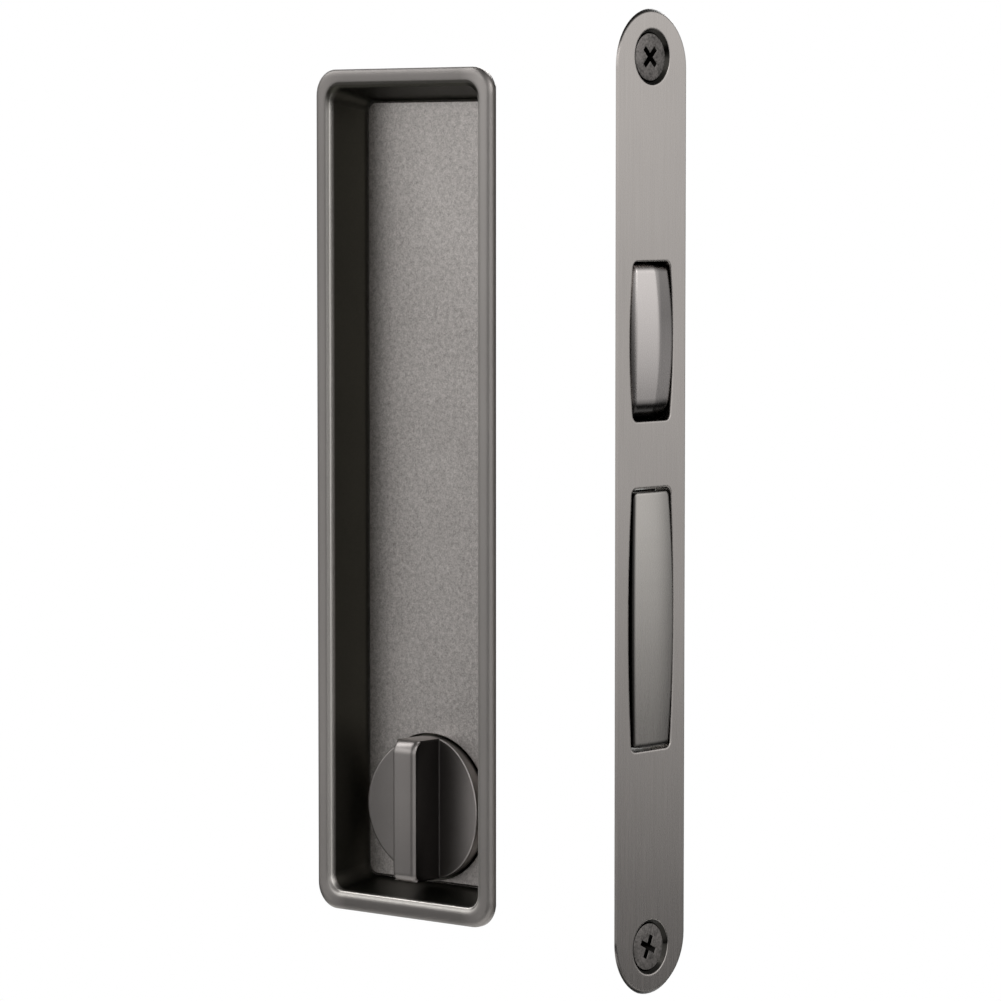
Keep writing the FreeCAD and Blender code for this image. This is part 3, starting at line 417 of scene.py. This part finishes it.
def endShadeMask(tree, place, outline):
    # painted shade: 1 near the edge of the plate's round ends, which are painted dark there
    axes = splitAxes(tree, place)
    past = addMath(tree, "SUBTRACT", addMath(tree, "ABSOLUTE", axes["Z"]), outline["height"])
    past = addMath(tree, "MAXIMUM", past, 0.0)
    reach = addMath(tree, "ADD", addMath(tree, "POWER", past, 2), addMath(tree, "POWER", axes["Y"], 2))
    near = addRamp(tree, addMath(tree, "SQRT", reach), outline["radius"], outline["width"])
    return addMath(tree, "MULTIPLY", near, addRamp(tree, past, outline["start"], outline["fade"]))


def sinkShadeMask(tree, place, sinks):
    # 1 inside a round hole along X, below the plate's front: painted shade darkens the countersinks and the
    # crosses
    axes = splitAxes(tree, place)
    near = 0.0
    for height in sinks["heights"]:
        rise = addMath(tree, "POWER", addMath(tree, "SUBTRACT", axes["Z"], height), 2)
        reach = addMath(tree, "ADD", rise, addMath(tree, "POWER", axes["Y"], 2))
        near = addMath(tree, "MAXIMUM", near, addMath(tree, "LESS_THAN", reach, sinks["radius"] ** 2))
    return addMath(tree, "MULTIPLY", near, addMath(tree, "LESS_THAN", axes["X"], sinks["start"]))


def insideMask(tree, place, recess):
    # 1 below the rim's front and inside the rim's opening with its round corners
    axes = splitAxes(tree, place)
    deep = addRamp(tree, axes["Y"], recess["start"], recess["fade"])
    reach = 0.0
    for axis, middle, half in zip("XZ", recess["middle"], recess["half"]):
        spot = addMath(tree, "ABSOLUTE", addMath(tree, "SUBTRACT", axes[axis], middle))
        past = addMath(tree, "MAXIMUM", addMath(tree, "SUBTRACT", spot, half - recess["corner"]), 0.0)
        reach = addMath(tree, "ADD", reach, addMath(tree, "POWER", past, 2))
    return addMath(tree, "MULTIPLY", deep, addMath(tree, "LESS_THAN", reach, recess["corner"] ** 2))


def darkenInsidePaintLipLight(tree, place, share, edges, colour, recess):
    # the flush pull's inside is darker; the top of its inner edge gets painted shade in that darker tone, the
    # rest of that edge a painted highlight
    insideTone = mixColour(tree, share, recess["darkColour"], recess["lightColour"])
    colour = mixColour(tree, insideMask(tree, place, recess), colour, insideTone)
    lip = insideMask(tree, place, dict(recess, start=recess["lipStart"], half=recess["lipHalf"]))
    top = addRamp(tree, splitAxes(tree, place)["Z"], recess["lipTop"], recess["lipFade"])
    paintedLipHighlight = addMath(tree, "MULTIPLY", edges, recess["lipHighlightGain"], clamp=True)
    paintedLipHighlight = addMath(tree, "MULTIPLY", paintedLipHighlight, addMath(tree, "SUBTRACT", 1.0, top))
    colour = mixColour(tree, addMath(tree, "MULTIPLY", lip, top), colour, insideTone)
    return mixColour(tree, addMath(tree, "MULTIPLY", lip, paintedLipHighlight), colour, recess["lipHighlightColour"])


def dress(nodeName, finish):
    piece = nodes[nodeName]
    piece.data.materials.clear()
    piece.data.materials.append(finish)


forendLook = {
    "darkColour": (0.36, 0.336, 0.32), "lightColour": (0.53, 0.495, 0.47), "edgeColour": (0.4, 0.375, 0.355),
    "edgeRadius": 0.45 * mm, "edgeGain": 0.3, "grainScale": (5200, 5200, 90), "grainTone": 0.6,
    "grainDepth": 0.004 * mm, "cloudSize": 35.0, "cloudTone": 0.2, "roughness": 0.27,
    "roughnessSpread": 0.1, "metallic": 1.0, "brushed": 0.8,
    # painted shade along the edge of the plate's round ends
    "outline": {"height": 76 * mm, "radius": 9.3 * mm, "width": 0.3 * mm, "start": 1.5 * mm, "fade": 3 * mm,
                "colour": (0.06, 0.057, 0.054)},
    # painted shade in the countersinks
    "sinks": {"heights": (77.7 * mm, -77.7 * mm), "radius": 4.93 * mm, "start": -0.03 * mm,
              "colour": (0.035, 0.033, 0.03)},
}
castLook = {
    "darkColour": (0.215, 0.202, 0.193), "lightColour": (0.285, 0.267, 0.255),
    "edgeColour": (0.4, 0.38, 0.355),
    "edgeRadius": 1.4 * mm, "edgeGain": 0.3, "grainScale": (4200, 4200, 4200), "grainTone": 0.3,
    "grainDepth": 0.002 * mm, "cloudSize": 45.0, "cloudTone": 0.35, "roughness": 0.36,
    "roughnessSpread": 0.05, "metallic": 1.0,
}
# painted light and shade on the flush pull's rim: gains by side and height
rim = {
    "middle": -39 * mm, "start": 13.5 * mm, "fade": 4.4 * mm, "top": 55 * mm, "height": 100 * mm,
    "left": 1.0, "leftRise": 0.55, "right": 1.38, "ends": 0.84,
}
# the inside is darker; the inner edge gets a painted highlight below lipTop and painted shade above it
recess = {
    "start": -20.4 * mm, "fade": 0.3 * mm, "middle": (-39 * mm, 1 * mm), "half": (17.4 * mm, 71.9 * mm),
    "corner": 3.4 * mm, "darkColour": (0.052, 0.050, 0.041), "lightColour": (0.096, 0.092, 0.077),
    "lipStart": -21.7 * mm, "lipHalf": (17.95 * mm, 72.8 * mm), "lipHighlightGain": 30.0, "lipTop": 68.5 * mm,
    "lipFade": 3.5 * mm, "lipHighlightColour": (0.85, 0.82, 0.77),
}
trayLook = dict(castLook, rim=rim, recess=recess)
# painted shade on the bar's side, and painted shade turning to painted light across the hollow
barShade = {
    "middle": -39 * mm, "side": 2.6 * mm, "hollow": 2.78 * mm, "reach": 8 * mm, "sideGain": 0.16,
    "hollowGain": 0.68, "growth": 1.1,
}
knobLook = dict(castLook, darkColour=(0.27, 0.252, 0.243), lightColour=(0.36, 0.336, 0.323), roughness=0.34,
                edgeRadius=0.5 * mm, cloudSize=90.0, shade=barShade)
panelLook = {
    "darkColour": (0.3, 0.278, 0.265), "lightColour": (0.66, 0.624, 0.6), "edgeColour": (0.6, 0.58, 0.54),
    "edgeRadius": 0.15 * mm, "edgeGain": 1.0, "grainScale": (3600, 3600, 3600), "grainTone": 1.6,
    "grainRoughness": 0.8, "grainDepth": 0.035 * mm, "cloudSize": 55.0, "cloudTone": 0.2,
    "roughness": 0.44, "roughnessSpread": 0.1, "metallic": 1.0,
}
# painted shade on the edge pull's facet, lower round and left edge
pullFacet = {  # pairs of where a ramp starts and how far it goes
    "across": (0.7 * mm, 1.5 * mm), "along": (19 * mm, 14 * mm), "sideDark": 0.52,
    "low": (18.6 * mm, -1.3 * mm), "lowDark": 0.88, "left": (-4.5 * mm, -1.0 * mm), "leftDark": 0.7,
    "front": -1.2 * mm,
}
pullLook = dict(castLook, darkColour=(0.53, 0.496, 0.482), lightColour=(0.62, 0.582, 0.566), roughness=0.27,
                edgeRadius=0.6 * mm, grainScale=(3800, 3800, 260), facet=pullFacet)
# painted shade along the bolt's bowed left edge and lower edge
boltBow = {
    "middle": -20 * mm, "radius": 311 * mm, "edge": -4.9 * mm, "fade": 0.5 * mm, "low": -41.4 * mm,
    "dark": 0.9, "front": -1.2 * mm,
}
boltLook = dict(castLook, darkColour=(0.40, 0.382, 0.36), lightColour=(0.48, 0.456, 0.43), roughness=0.28,
                edgeRadius=0.6 * mm, grainScale=(3800, 3800, 220), bow=boltBow)
zincLook = {
    "darkColour": (0.60, 0.61, 0.60), "lightColour": (0.76, 0.76, 0.74), "edgeColour": (0.85, 0.85, 0.84),
    "edgeRadius": 0.25 * mm, "edgeGain": 1.0, "grainScale": (900, 900, 900), "grainTone": 0.25,
    "grainDepth": 0.004 * mm, "cloudSize": 85.0, "cloudTone": 0.7, "roughness": 0.34,
    "roughnessSpread": 0.1, "metallic": 1.0,
}
hardLook = dict(zincLook, darkColour=(0.38, 0.38, 0.375), lightColour=(0.5, 0.5, 0.49), roughness=0.25,
                grainScale=(3000, 3000, 3000), cloudTone=0.3)
screwLook = {
    "darkColour": (0.05, 0.048, 0.044), "lightColour": (0.31, 0.288, 0.276), "edgeColour": (0.34, 0.33, 0.31),
    "edgeRadius": 0.15 * mm, "edgeGain": 2.0, "grainScale": (2400, 2400, 2400), "grainTone": 1.5,
    "grainRoughness": 0.8, "grainDepth": 0.06 * mm, "cloudSize": 200.0, "cloudTone": 0.2,
    "roughness": 0.48, "roughnessSpread": 0.15, "metallic": 1.0,
    # painted shade in the cross recess
    "sinks": {"heights": (77.7 * mm, -77.7 * mm), "radius": 3.4 * mm, "start": -0.54 * mm,
              "colour": (0.015, 0.014, 0.013)},
}

forend = makeMetal("brushedForend", forendLook)
knobFinish = makeMetal("satinKnob", knobLook)
trayFinish = makeMetal("satinTrayDarkInsidePaintedLip", trayLook)
blasted = makeMetal("blastedPanel", panelLook)
pullFinish = makeMetal("satinEdgePull", pullLook)
boltFinish = makeMetal("satinBolt", boltLook)
zinc = makeMetal("zincPlate", zincLook)
hardSteel = makeMetal("groundSteel", hardLook)
darkScrew = makeMetal("darkScrewPaintedCrossShade", screwLook)

dressing = {
    forend: ["faceplate"],
    trayFinish: ["tray"],
    blasted: ["floor_panel"],
    pullFinish: ["edge_pull"],
    boltFinish: ["claw_bolt"],
    zinc: ["backing_strip", "case_body", "case_cover", "case_pillars", "tray_screws", "spindle"],
    hardSteel: ["claw_studs", "rack_guide_post", "upper_claw", "lower_claw", "upper_claw_pin",
                "lower_claw_pin", "follower", "knob_circlip", "edge_pull_pin"],
    darkScrew: ["upper_plate_screw", "lower_plate_screw"],
}
for finish, names in dressing.items():
    for nodeName in names:
        dress(nodeName, finish)
print("finishes made")


# Cross-recessed wood screws of the faceplate

woodScrew = {
    "headRadius": 4.25, "neckRadius": 1.5, "rootRadius": 1.35, "crestRadius": 2.0, "headHeight": 2.92,
    "headRim": 0.3, "seat": -0.46, "tip": -32.88, "pitch": 1.8, "plainLength": 2.3, "crossSpan": 5.8,
    "crossWidth": 1.25, "crossDepth": 1.9, "crossStep": 0.07, "crossTaper": (1, 0.5, 0.3),
    "crestShares": (0.55, 0.8), "tipTaper": 6.0, "tipShare": 0.04, "neckIntoHead": 0.3,
    "neckIntoThread": 0.5, "neckBevel": 0.2, "height": {"upper": 77.7, "lower": -77.7},
    "turn": {"upper": 45, "lower": -26},
}


def makeWoodScrew(side):
    sizes, height = woodScrew, woodScrew["height"][side]
    seat, front = sizes["seat"], sizes["seat"] * mm
    nodeName = side + "_plate_screw"
    bpy.ops.mesh.primitive_cone_add(vertices=64, radius1=sizes["neckRadius"] * mm,
                                    radius2=sizes["headRadius"] * mm, depth=sizes["headHeight"] * mm,
                                    location=((seat - sizes["headHeight"] / 2) * mm, 0, height * mm),
                                    rotation=(0, math.radians(90), 0))
    head = active()
    applyPlace(head)
    selectEdges(head, lambda a, b: a.x > front - 1e-5 and b.x > front - 1e-5)
    bpy.ops.mesh.bevel(offset=sizes["headRim"] * mm, segments=3, affect="EDGES")
    bpy.ops.object.mode_set(mode="OBJECT")
    selectFaces(head, lambda centre, normal: centre.x > front - 1e-5)
    bpy.ops.mesh.poke()  # a fan, so that the cross is carved from small faces
    bpy.ops.object.mode_set(mode="OBJECT")
    # the cross: two tapered blades, the second a little deeper so that their floors don't coincide
    for quarter in (0, 1):
        depth = sizes["crossDepth"] + quarter * sizes["crossStep"]
        blade = makeBlock((seat - depth / 2 + 0.5, 0, height),
                          (depth + 1, sizes["crossWidth"], sizes["crossSpan"]))
        low = min(v.co.x for v in blade.data.vertices)
        selectFaces(blade, lambda centre, normal: centre.x < low + 1e-5)
        bpy.ops.transform.resize(value=sizes["crossTaper"])
        bpy.ops.object.mode_set(mode="OBJECT")
        angle = math.radians(sizes["turn"][side] + 90 * quarter)
        for vertex in blade.data.vertices:  # turned about the screw's own axis
            y, z = vertex.co.y, vertex.co.z - height * mm
            vertex.co.y = y * math.cos(angle) - z * math.sin(angle)
            vertex.co.z = y * math.sin(angle) + z * math.cos(angle) + height * mm
        carve(head, blade)
    screw = joinPieces(nodeName + "_crossHead", [head, makeThread(height), makeNeck(height)])
    screw.data.materials.clear()
    screw.data.materials.append(darkScrew)
    shadeByAngle(screw, 30)
    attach(screw, "case")
    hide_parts(nodeName)


def makeThread(height):
    # one turn of a wood thread's outline, wound round the shank
    pitch, root, crest = woodScrew["pitch"], woodScrew["rootRadius"], woodScrew["crestRadius"]
    flank, land = woodScrew["crestShares"]
    start = woodScrew["seat"] - woodScrew["headHeight"] - woodScrew["plainLength"]
    thread = windOutline("woodThread", [(0, root, 0), (0, root, -pitch * flank), (0, crest, -pitch * land),
                                        (0, root, -pitch)], steps=20, merge=0.00001,
                         turns=int((start - woodScrew["tip"]) / pitch), rise=-pitch)
    thread.rotation_euler = (0, math.radians(90), 0)
    thread.location = (start * mm, 0, height * mm)
    applyPlace(thread)
    tip = woodScrew["tip"] * mm
    for vertex in thread.data.vertices:
        share = (vertex.co.x - tip) / (woodScrew["tipTaper"] * mm)
        share = min(1, max(woodScrew["tipShare"], share))
        vertex.co.y *= share
        vertex.co.z = (vertex.co.z - height * mm) * share + height * mm
        vertex.co.x = max(vertex.co.x, tip)
    pick(thread)
    bpy.ops.object.mode_set(mode="EDIT")
    bpy.ops.mesh.select_all(action="SELECT")
    bpy.ops.mesh.remove_doubles(threshold=0.000005)
    bpy.ops.mesh.select_all(action="DESELECT")
    bpy.ops.mesh.select_mode(type="EDGE")
    bpy.ops.mesh.select_non_manifold(extend=False, use_wire=False, use_multi_face=False,
                                     use_non_contiguous=False)
    bpy.ops.mesh.edge_face_add()
    bpy.ops.mesh.select_all(action="SELECT")
    bpy.ops.mesh.normals_make_consistent(inside=False)
    bpy.ops.object.mode_set(mode="OBJECT")
    return thread


def makeNeck(height):
    # the plain shank from inside the head into the thread
    length = woodScrew["neckIntoHead"] + woodScrew["plainLength"] + woodScrew["neckIntoThread"]
    middle = woodScrew["seat"] - woodScrew["headHeight"] + woodScrew["neckIntoHead"] - length / 2
    neck = makeDrum((middle, 0, height), woodScrew["neckRadius"], length, 48, axis="X")
    low = min(v.co.x for v in neck.data.vertices)
    selectEdges(neck, lambda a, b: a.x < low + 1e-6 and b.x < low + 1e-6)
    bpy.ops.mesh.bevel(offset=woodScrew["neckBevel"] * mm, segments=2, affect="EDGES")
    bpy.ops.object.mode_set(mode="OBJECT")
    return neck


for side in ("upper", "lower"):
    makeWoodScrew(side)
print("plate screws made")


# Thumb-turn with a rounded grip bar between two hollows

thumbTurn = {
    "middle": (-39.0, -55.0), "discRadius": 12.8, "discFront": -16.5, "discBack": -13.55, "hubRadius": 6.0,
    "hubBack": -9.2, "barFront": -21.4, "barWidth": 5.4, "barRound": 1.0,
    "endRound": {"top": 2.6, "bottom": 1.7}, "hollowDepth": 1.8, "hollowRadius": 60.0, "hollowReach": 13.8,
    "socket": 7.06, "groove": {"front": -10.4, "back": -9.5, "radius": 5.3},
    "edgeLevel": 0.6, "edgeLean": 2.0,  # which of the bar's edges are rounded
}


def turnProfile(name, spots, steps):
    # a solid from a closed outline of radius and height
    blank = windOutline(name, [(radius, 0, height) for radius, height in spots], steps, merge=0.000001)
    pick(blank)
    bpy.ops.object.mode_set(mode="EDIT")
    bpy.ops.mesh.select_all(action="SELECT")
    bpy.ops.mesh.remove_doubles(threshold=0.000001)
    bpy.ops.mesh.normals_make_consistent(inside=False)
    bpy.ops.object.mode_set(mode="OBJECT")
    return blank


def makeHollow(side):
    # the cutter of one hollow: a lying drum, cut off at the bar's side
    deepest = (thumbTurn["barWidth"] / 2, thumbTurn["discFront"] + thumbTurn["hollowDepth"])
    shallow = (thumbTurn["hollowReach"], thumbTurn["discFront"])
    run, rise = shallow[0] - deepest[0], shallow[1] - deepest[1]
    span = math.hypot(run, rise)
    drop = math.sqrt(thumbTurn["hollowRadius"] ** 2 - span ** 2 / 4)
    centreX = (deepest[0] + shallow[0]) / 2 + rise / span * drop
    centreY = (deepest[1] + shallow[1]) / 2 - run / span * drop
    hollow = makeDrum((centreX * side, centreY, 0), thumbTurn["hollowRadius"], 30, 720)
    bpy.ops.object.mode_set(mode="EDIT")
    bpy.ops.mesh.select_all(action="SELECT")
    bpy.ops.mesh.bisect(plane_co=(deepest[0] * side * mm, 0, 0), plane_no=(side, 0, 0), use_fill=True,
                        clear_inner=True)
    bpy.ops.object.mode_set(mode="OBJECT")
    return hollow


def makeEndCutter(radius, side):
    # what is left of a block beside a drum: it rounds the bar's end over
    front, end = thumbTurn["barFront"], thumbTurn["discRadius"]
    block = makeBlock((0, front + radius / 2 - 0.5, (end - radius / 2 + 0.5) * side),
                      (8, radius + 1, radius + 1))
    carve(block, makeDrum((0, front + radius, (end - radius) * side), radius, 10, 96, axis="X"))
    return block


def makeThumbTurn():
    knob, groove = thumbTurn, thumbTurn["groove"]
    blank = turnProfile("thumbTurn", [
        (0, -knob["barFront"]), (knob["discRadius"], -knob["barFront"]),
        (knob["discRadius"], -knob["discBack"]),
        (knob["hubRadius"], -knob["discBack"]), (knob["hubRadius"], -groove["front"]),
        (groove["radius"], -groove["front"]), (groove["radius"], -groove["back"]),
        (knob["hubRadius"], -groove["back"]), (knob["hubRadius"], -knob["hubBack"]), (0, -knob["hubBack"]),
    ], 160)
    blank.rotation_euler = (math.radians(90), 0, 0)
    applyPlace(blank)
    for side in (1, -1):
        carve(blank, makeHollow(side))
        carve(blank, makeEndCutter(knob["endRound"]["top" if side > 0 else "bottom"], side))
    depth = knob["hubBack"] - knob["discBack"]
    carve(blank, makeBlock((0, knob["discBack"] + depth / 2 + 0.5, 0),
                           (knob["socket"], depth + 1, knob["socket"])))
    pick(blank)
    bpy.ops.object.mode_set(mode="EDIT")
    bpy.ops.mesh.select_all(action="SELECT")
    bpy.ops.mesh.remove_doubles(threshold=0.000002)
    bpy.ops.mesh.dissolve_limited(angle_limit=math.radians(0.5))  # flat faces in one piece, for a clean bevel
    half = knob["barWidth"] / 2 * mm
    level = (knob["discFront"] - knob["edgeLevel"]) * mm
    selectEdges(blank, lambda a, b: all(abs(abs(spot.x) - half) < 1e-5 and spot.y < level for spot in (a, b))
                and abs(a.x - b.x) < 1e-5 and abs(a.y - b.y) < knob["edgeLean"] * mm)
    bpy.ops.mesh.bevel(offset=knob["barRound"] * mm, segments=5, affect="EDGES")
    bpy.ops.object.mode_set(mode="OBJECT")
    blank.location = (knob["middle"][0] * mm, 0, knob["middle"][1] * mm)
    applyPlace(blank)
    blank.data.materials.clear()
    blank.data.materials.append(knobFinish)
    shadeByAngle(blank, 32)
    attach(blank, "thumb_turn")
    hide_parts("turn_knob")


makeThumbTurn()
print("thumb-turn made")


# Studio: a white room, a pale floor well below the lock, and soft lamps

studio = {
    "floorHeight": -0.32, "floorSize": 1.0, "floorColour": (0.8, 0.8, 0.79), "roomDiffuse": 0.55,
    "heights": [(-13, 0.03), (-10.5, 0.09), (-8.5, 0.33), (-5, 0.62), (-1, 0.82), (4, 1.0), (12, 1.12),
                (30, 0.65), (60, 0.2)],
    "sides": [(-180, 0.4), (-168, 0.45), (-152, 1.0), (-118, 1.0), (-104, 0.4), (-76, 0.4), (-60, 1.15),
              (0, 1.2), (57, 1.2), (67, 0.38), (180, 0.38)],
    "doorCorner": {"x": (-18.5, -0.05), "y": (-20.0, 0.0), "height": 180.0, "colour": (0.5, 0.49, 0.47),
                   "thickness": 0.1, "window": {"radius": 10.05, "centre": 76.0, "depth": 4.0}},
}


def makeWhiteToCamera(name, colour):
    # white where the camera sees it, a plain surface for everything else
    paint = bpy.data.materials.new(name)
    paint.use_nodes = True
    tree = paint.node_tree
    shader = tree.nodes["Principled BSDF"]
    shader.inputs["Base Color"].default_value = (*colour, 1)
    shader.inputs["Roughness"].default_value = 0.8
    glow = tree.nodes.new("ShaderNodeEmission")
    seen = tree.nodes.new("ShaderNodeLightPath")
    blend = tree.nodes.new("ShaderNodeMixShader")
    tree.links.new(seen.outputs["Is Camera Ray"], blend.inputs[0])
    tree.links.new(shader.outputs[0], blend.inputs[1])
    tree.links.new(glow.outputs[0], blend.inputs[2])
    tree.links.new(blend.outputs[0], tree.nodes["Material Output"].inputs["Surface"])
    return paint


def makeFloor():
    bpy.ops.mesh.primitive_plane_add(size=studio["floorSize"], location=(0, 0, studio["floorHeight"]))
    floor = active()
    floor.name = "studioFloor"
    applyPlace(floor)
    floor.data.materials.append(makeWhiteToCamera("paleFloor", studio["floorColour"]))


def makeDoorCorner():
    # two thin cards that stand for the door leaf between the flush pull and the faceplate
    corner, window = studio["doorCorner"], studio["doorCorner"]["window"]
    (left, right), (front, back), thin = corner["x"], corner["y"], corner["thickness"]
    sheets = []
    for low, high in (((left, front), (right, front + thin)), ((right - thin, front), (right, back))):
        sheets.append(makeBlock(((low[0] + high[0]) / 2, (low[1] + high[1]) / 2, 0),
                                (high[0] - low[0], high[1] - low[1], corner["height"])))
    carve(sheets[1], makeBlock((0, 0, 0), (window["depth"], window["radius"] * 2, window["centre"] * 2)))
    for height in (window["centre"], -window["centre"]):
        carve(sheets[1], makeDrum((0, 0, height), window["radius"], window["depth"], 128, axis="X"))
    doorCorner = joinPieces("doorCorner", sheets)
    doorCorner.data.materials.append(makeWhiteToCamera("paleDoor", corner["colour"]))


def makeRamp(tree, angle, reach, levels):
    # brightness by an angle, given as pairs of degrees and level
    spread = tree.nodes.new("ShaderNodeMapRange")
    spread.inputs["From Min"].default_value = math.radians(-reach)
    spread.inputs["From Max"].default_value = math.radians(reach)
    tree.links.new(angle, spread.inputs["Value"])
    ramp = tree.nodes.new("ShaderNodeValToRGB")
    stops = ramp.color_ramp.elements
    for order, (degrees, level) in enumerate(levels):
        position = (degrees + reach) / (2 * reach)
        ends = {0: stops[0], len(levels) - 1: stops[-1]}
        stop = ends[order] if order in ends else stops.new(position)
        stop.position = position
        stop.color = (level, level, level, 1)
    tree.links.new(spread.outputs["Result"], ramp.inputs["Fac"])
    return ramp.outputs["Color"]


def makeRoom():
    # soft boxes and dark gaps round the lock and a dark room below it, which only gloss shows
    world = bpy.data.worlds.new("whiteRoom")
    bpy.context.scene.world = world
    world.use_nodes = True
    tree = world.node_tree
    background = tree.nodes["Background"]
    direction = tree.nodes.new("ShaderNodeTexCoord").outputs["Generated"]
    axes = splitAxes(tree, direction)
    height = addMath(tree, "ARCSINE", axes["Z"])
    side = addMath(tree, "ARCTAN2", axes["Y"], axes["X"])
    level = addMath(tree, "MULTIPLY", makeRamp(tree, height, 90, studio["heights"]),
                    makeRamp(tree, side, 180, studio["sides"]))
    path = tree.nodes.new("ShaderNodeLightPath")
    plain = addMath(tree, "MAXIMUM", path.outputs["Is Camera Ray"], path.outputs["Is Transmission Ray"])
    glossy = addMath(tree, "MULTIPLY", path.outputs["Is Glossy Ray"], level)
    either = addMath(tree, "MAXIMUM", plain, glossy)
    seen = addMath(tree, "MAXIMUM", plain, path.outputs["Is Glossy Ray"])
    diffuse = addMath(tree, "MULTIPLY", addMath(tree, "SUBTRACT", 1.0, seen), studio["roomDiffuse"])
    tree.links.new(addMath(tree, "ADD", either, diffuse), background.inputs["Strength"])
    background.inputs["Color"].default_value = (1, 1, 1, 1)


lamps = {
    "keyLeft": {"place": (-0.65, -0.2, 0.62), "aim": (-0.04, 0, 0), "size": (0.5, 0.5), "watts": 2.2},
    "fillFront": {"place": (-0.62, -0.75, 0.3), "aim": (-0.04, 0, 0.03), "size": (0.5, 0.3), "watts": 0.4},
    "sideRight": {"place": (0.7, -0.1, 0.45), "aim": (0, 0, 0.02), "size": (0.35, 0.35), "watts": 1.0},
    "rimBehind": {"place": (-0.4, 0.7, 0.35), "aim": (-0.03, 0, 0), "size": (0.5, 0.5), "watts": 3.0},
}


def makeLamp(name, lamp):
    place, aim = Vector(lamp["place"]), Vector(lamp["aim"])
    bpy.ops.object.light_add(type="AREA", location=place)
    light = active()
    light.name = name
    light.data.shape = "RECTANGLE"
    light.data.size, light.data.size_y = lamp["size"]
    light.data.energy = lamp["watts"]
    light.rotation_euler = (aim - place).to_track_quat("-Z", "Y").to_euler()


shot = {"place": (0.4845, -0.6151, 0.0562), "azimuth": 40.15, "elevation": 4.05, "lens": 162.01}


def makeCamera():
    turn = (math.radians(90 - shot["elevation"]), 0, math.radians(shot["azimuth"]))
    bpy.ops.object.camera_add(location=shot["place"], rotation=turn)
    camera = active()
    camera.data.lens = shot["lens"]
    camera.data.sensor_width = 36
    camera.data.clip_start, camera.data.clip_end = 0.01, 20
    bpy.context.scene.camera = camera


makeFloor()
makeDoorCorner()
makeRoom()
for lampName, lamp in lamps.items():
    makeLamp(lampName, lamp)
makeCamera()
bpy.context.scene.view_settings.view_transform = "Standard"
deselect()
print("studio made")
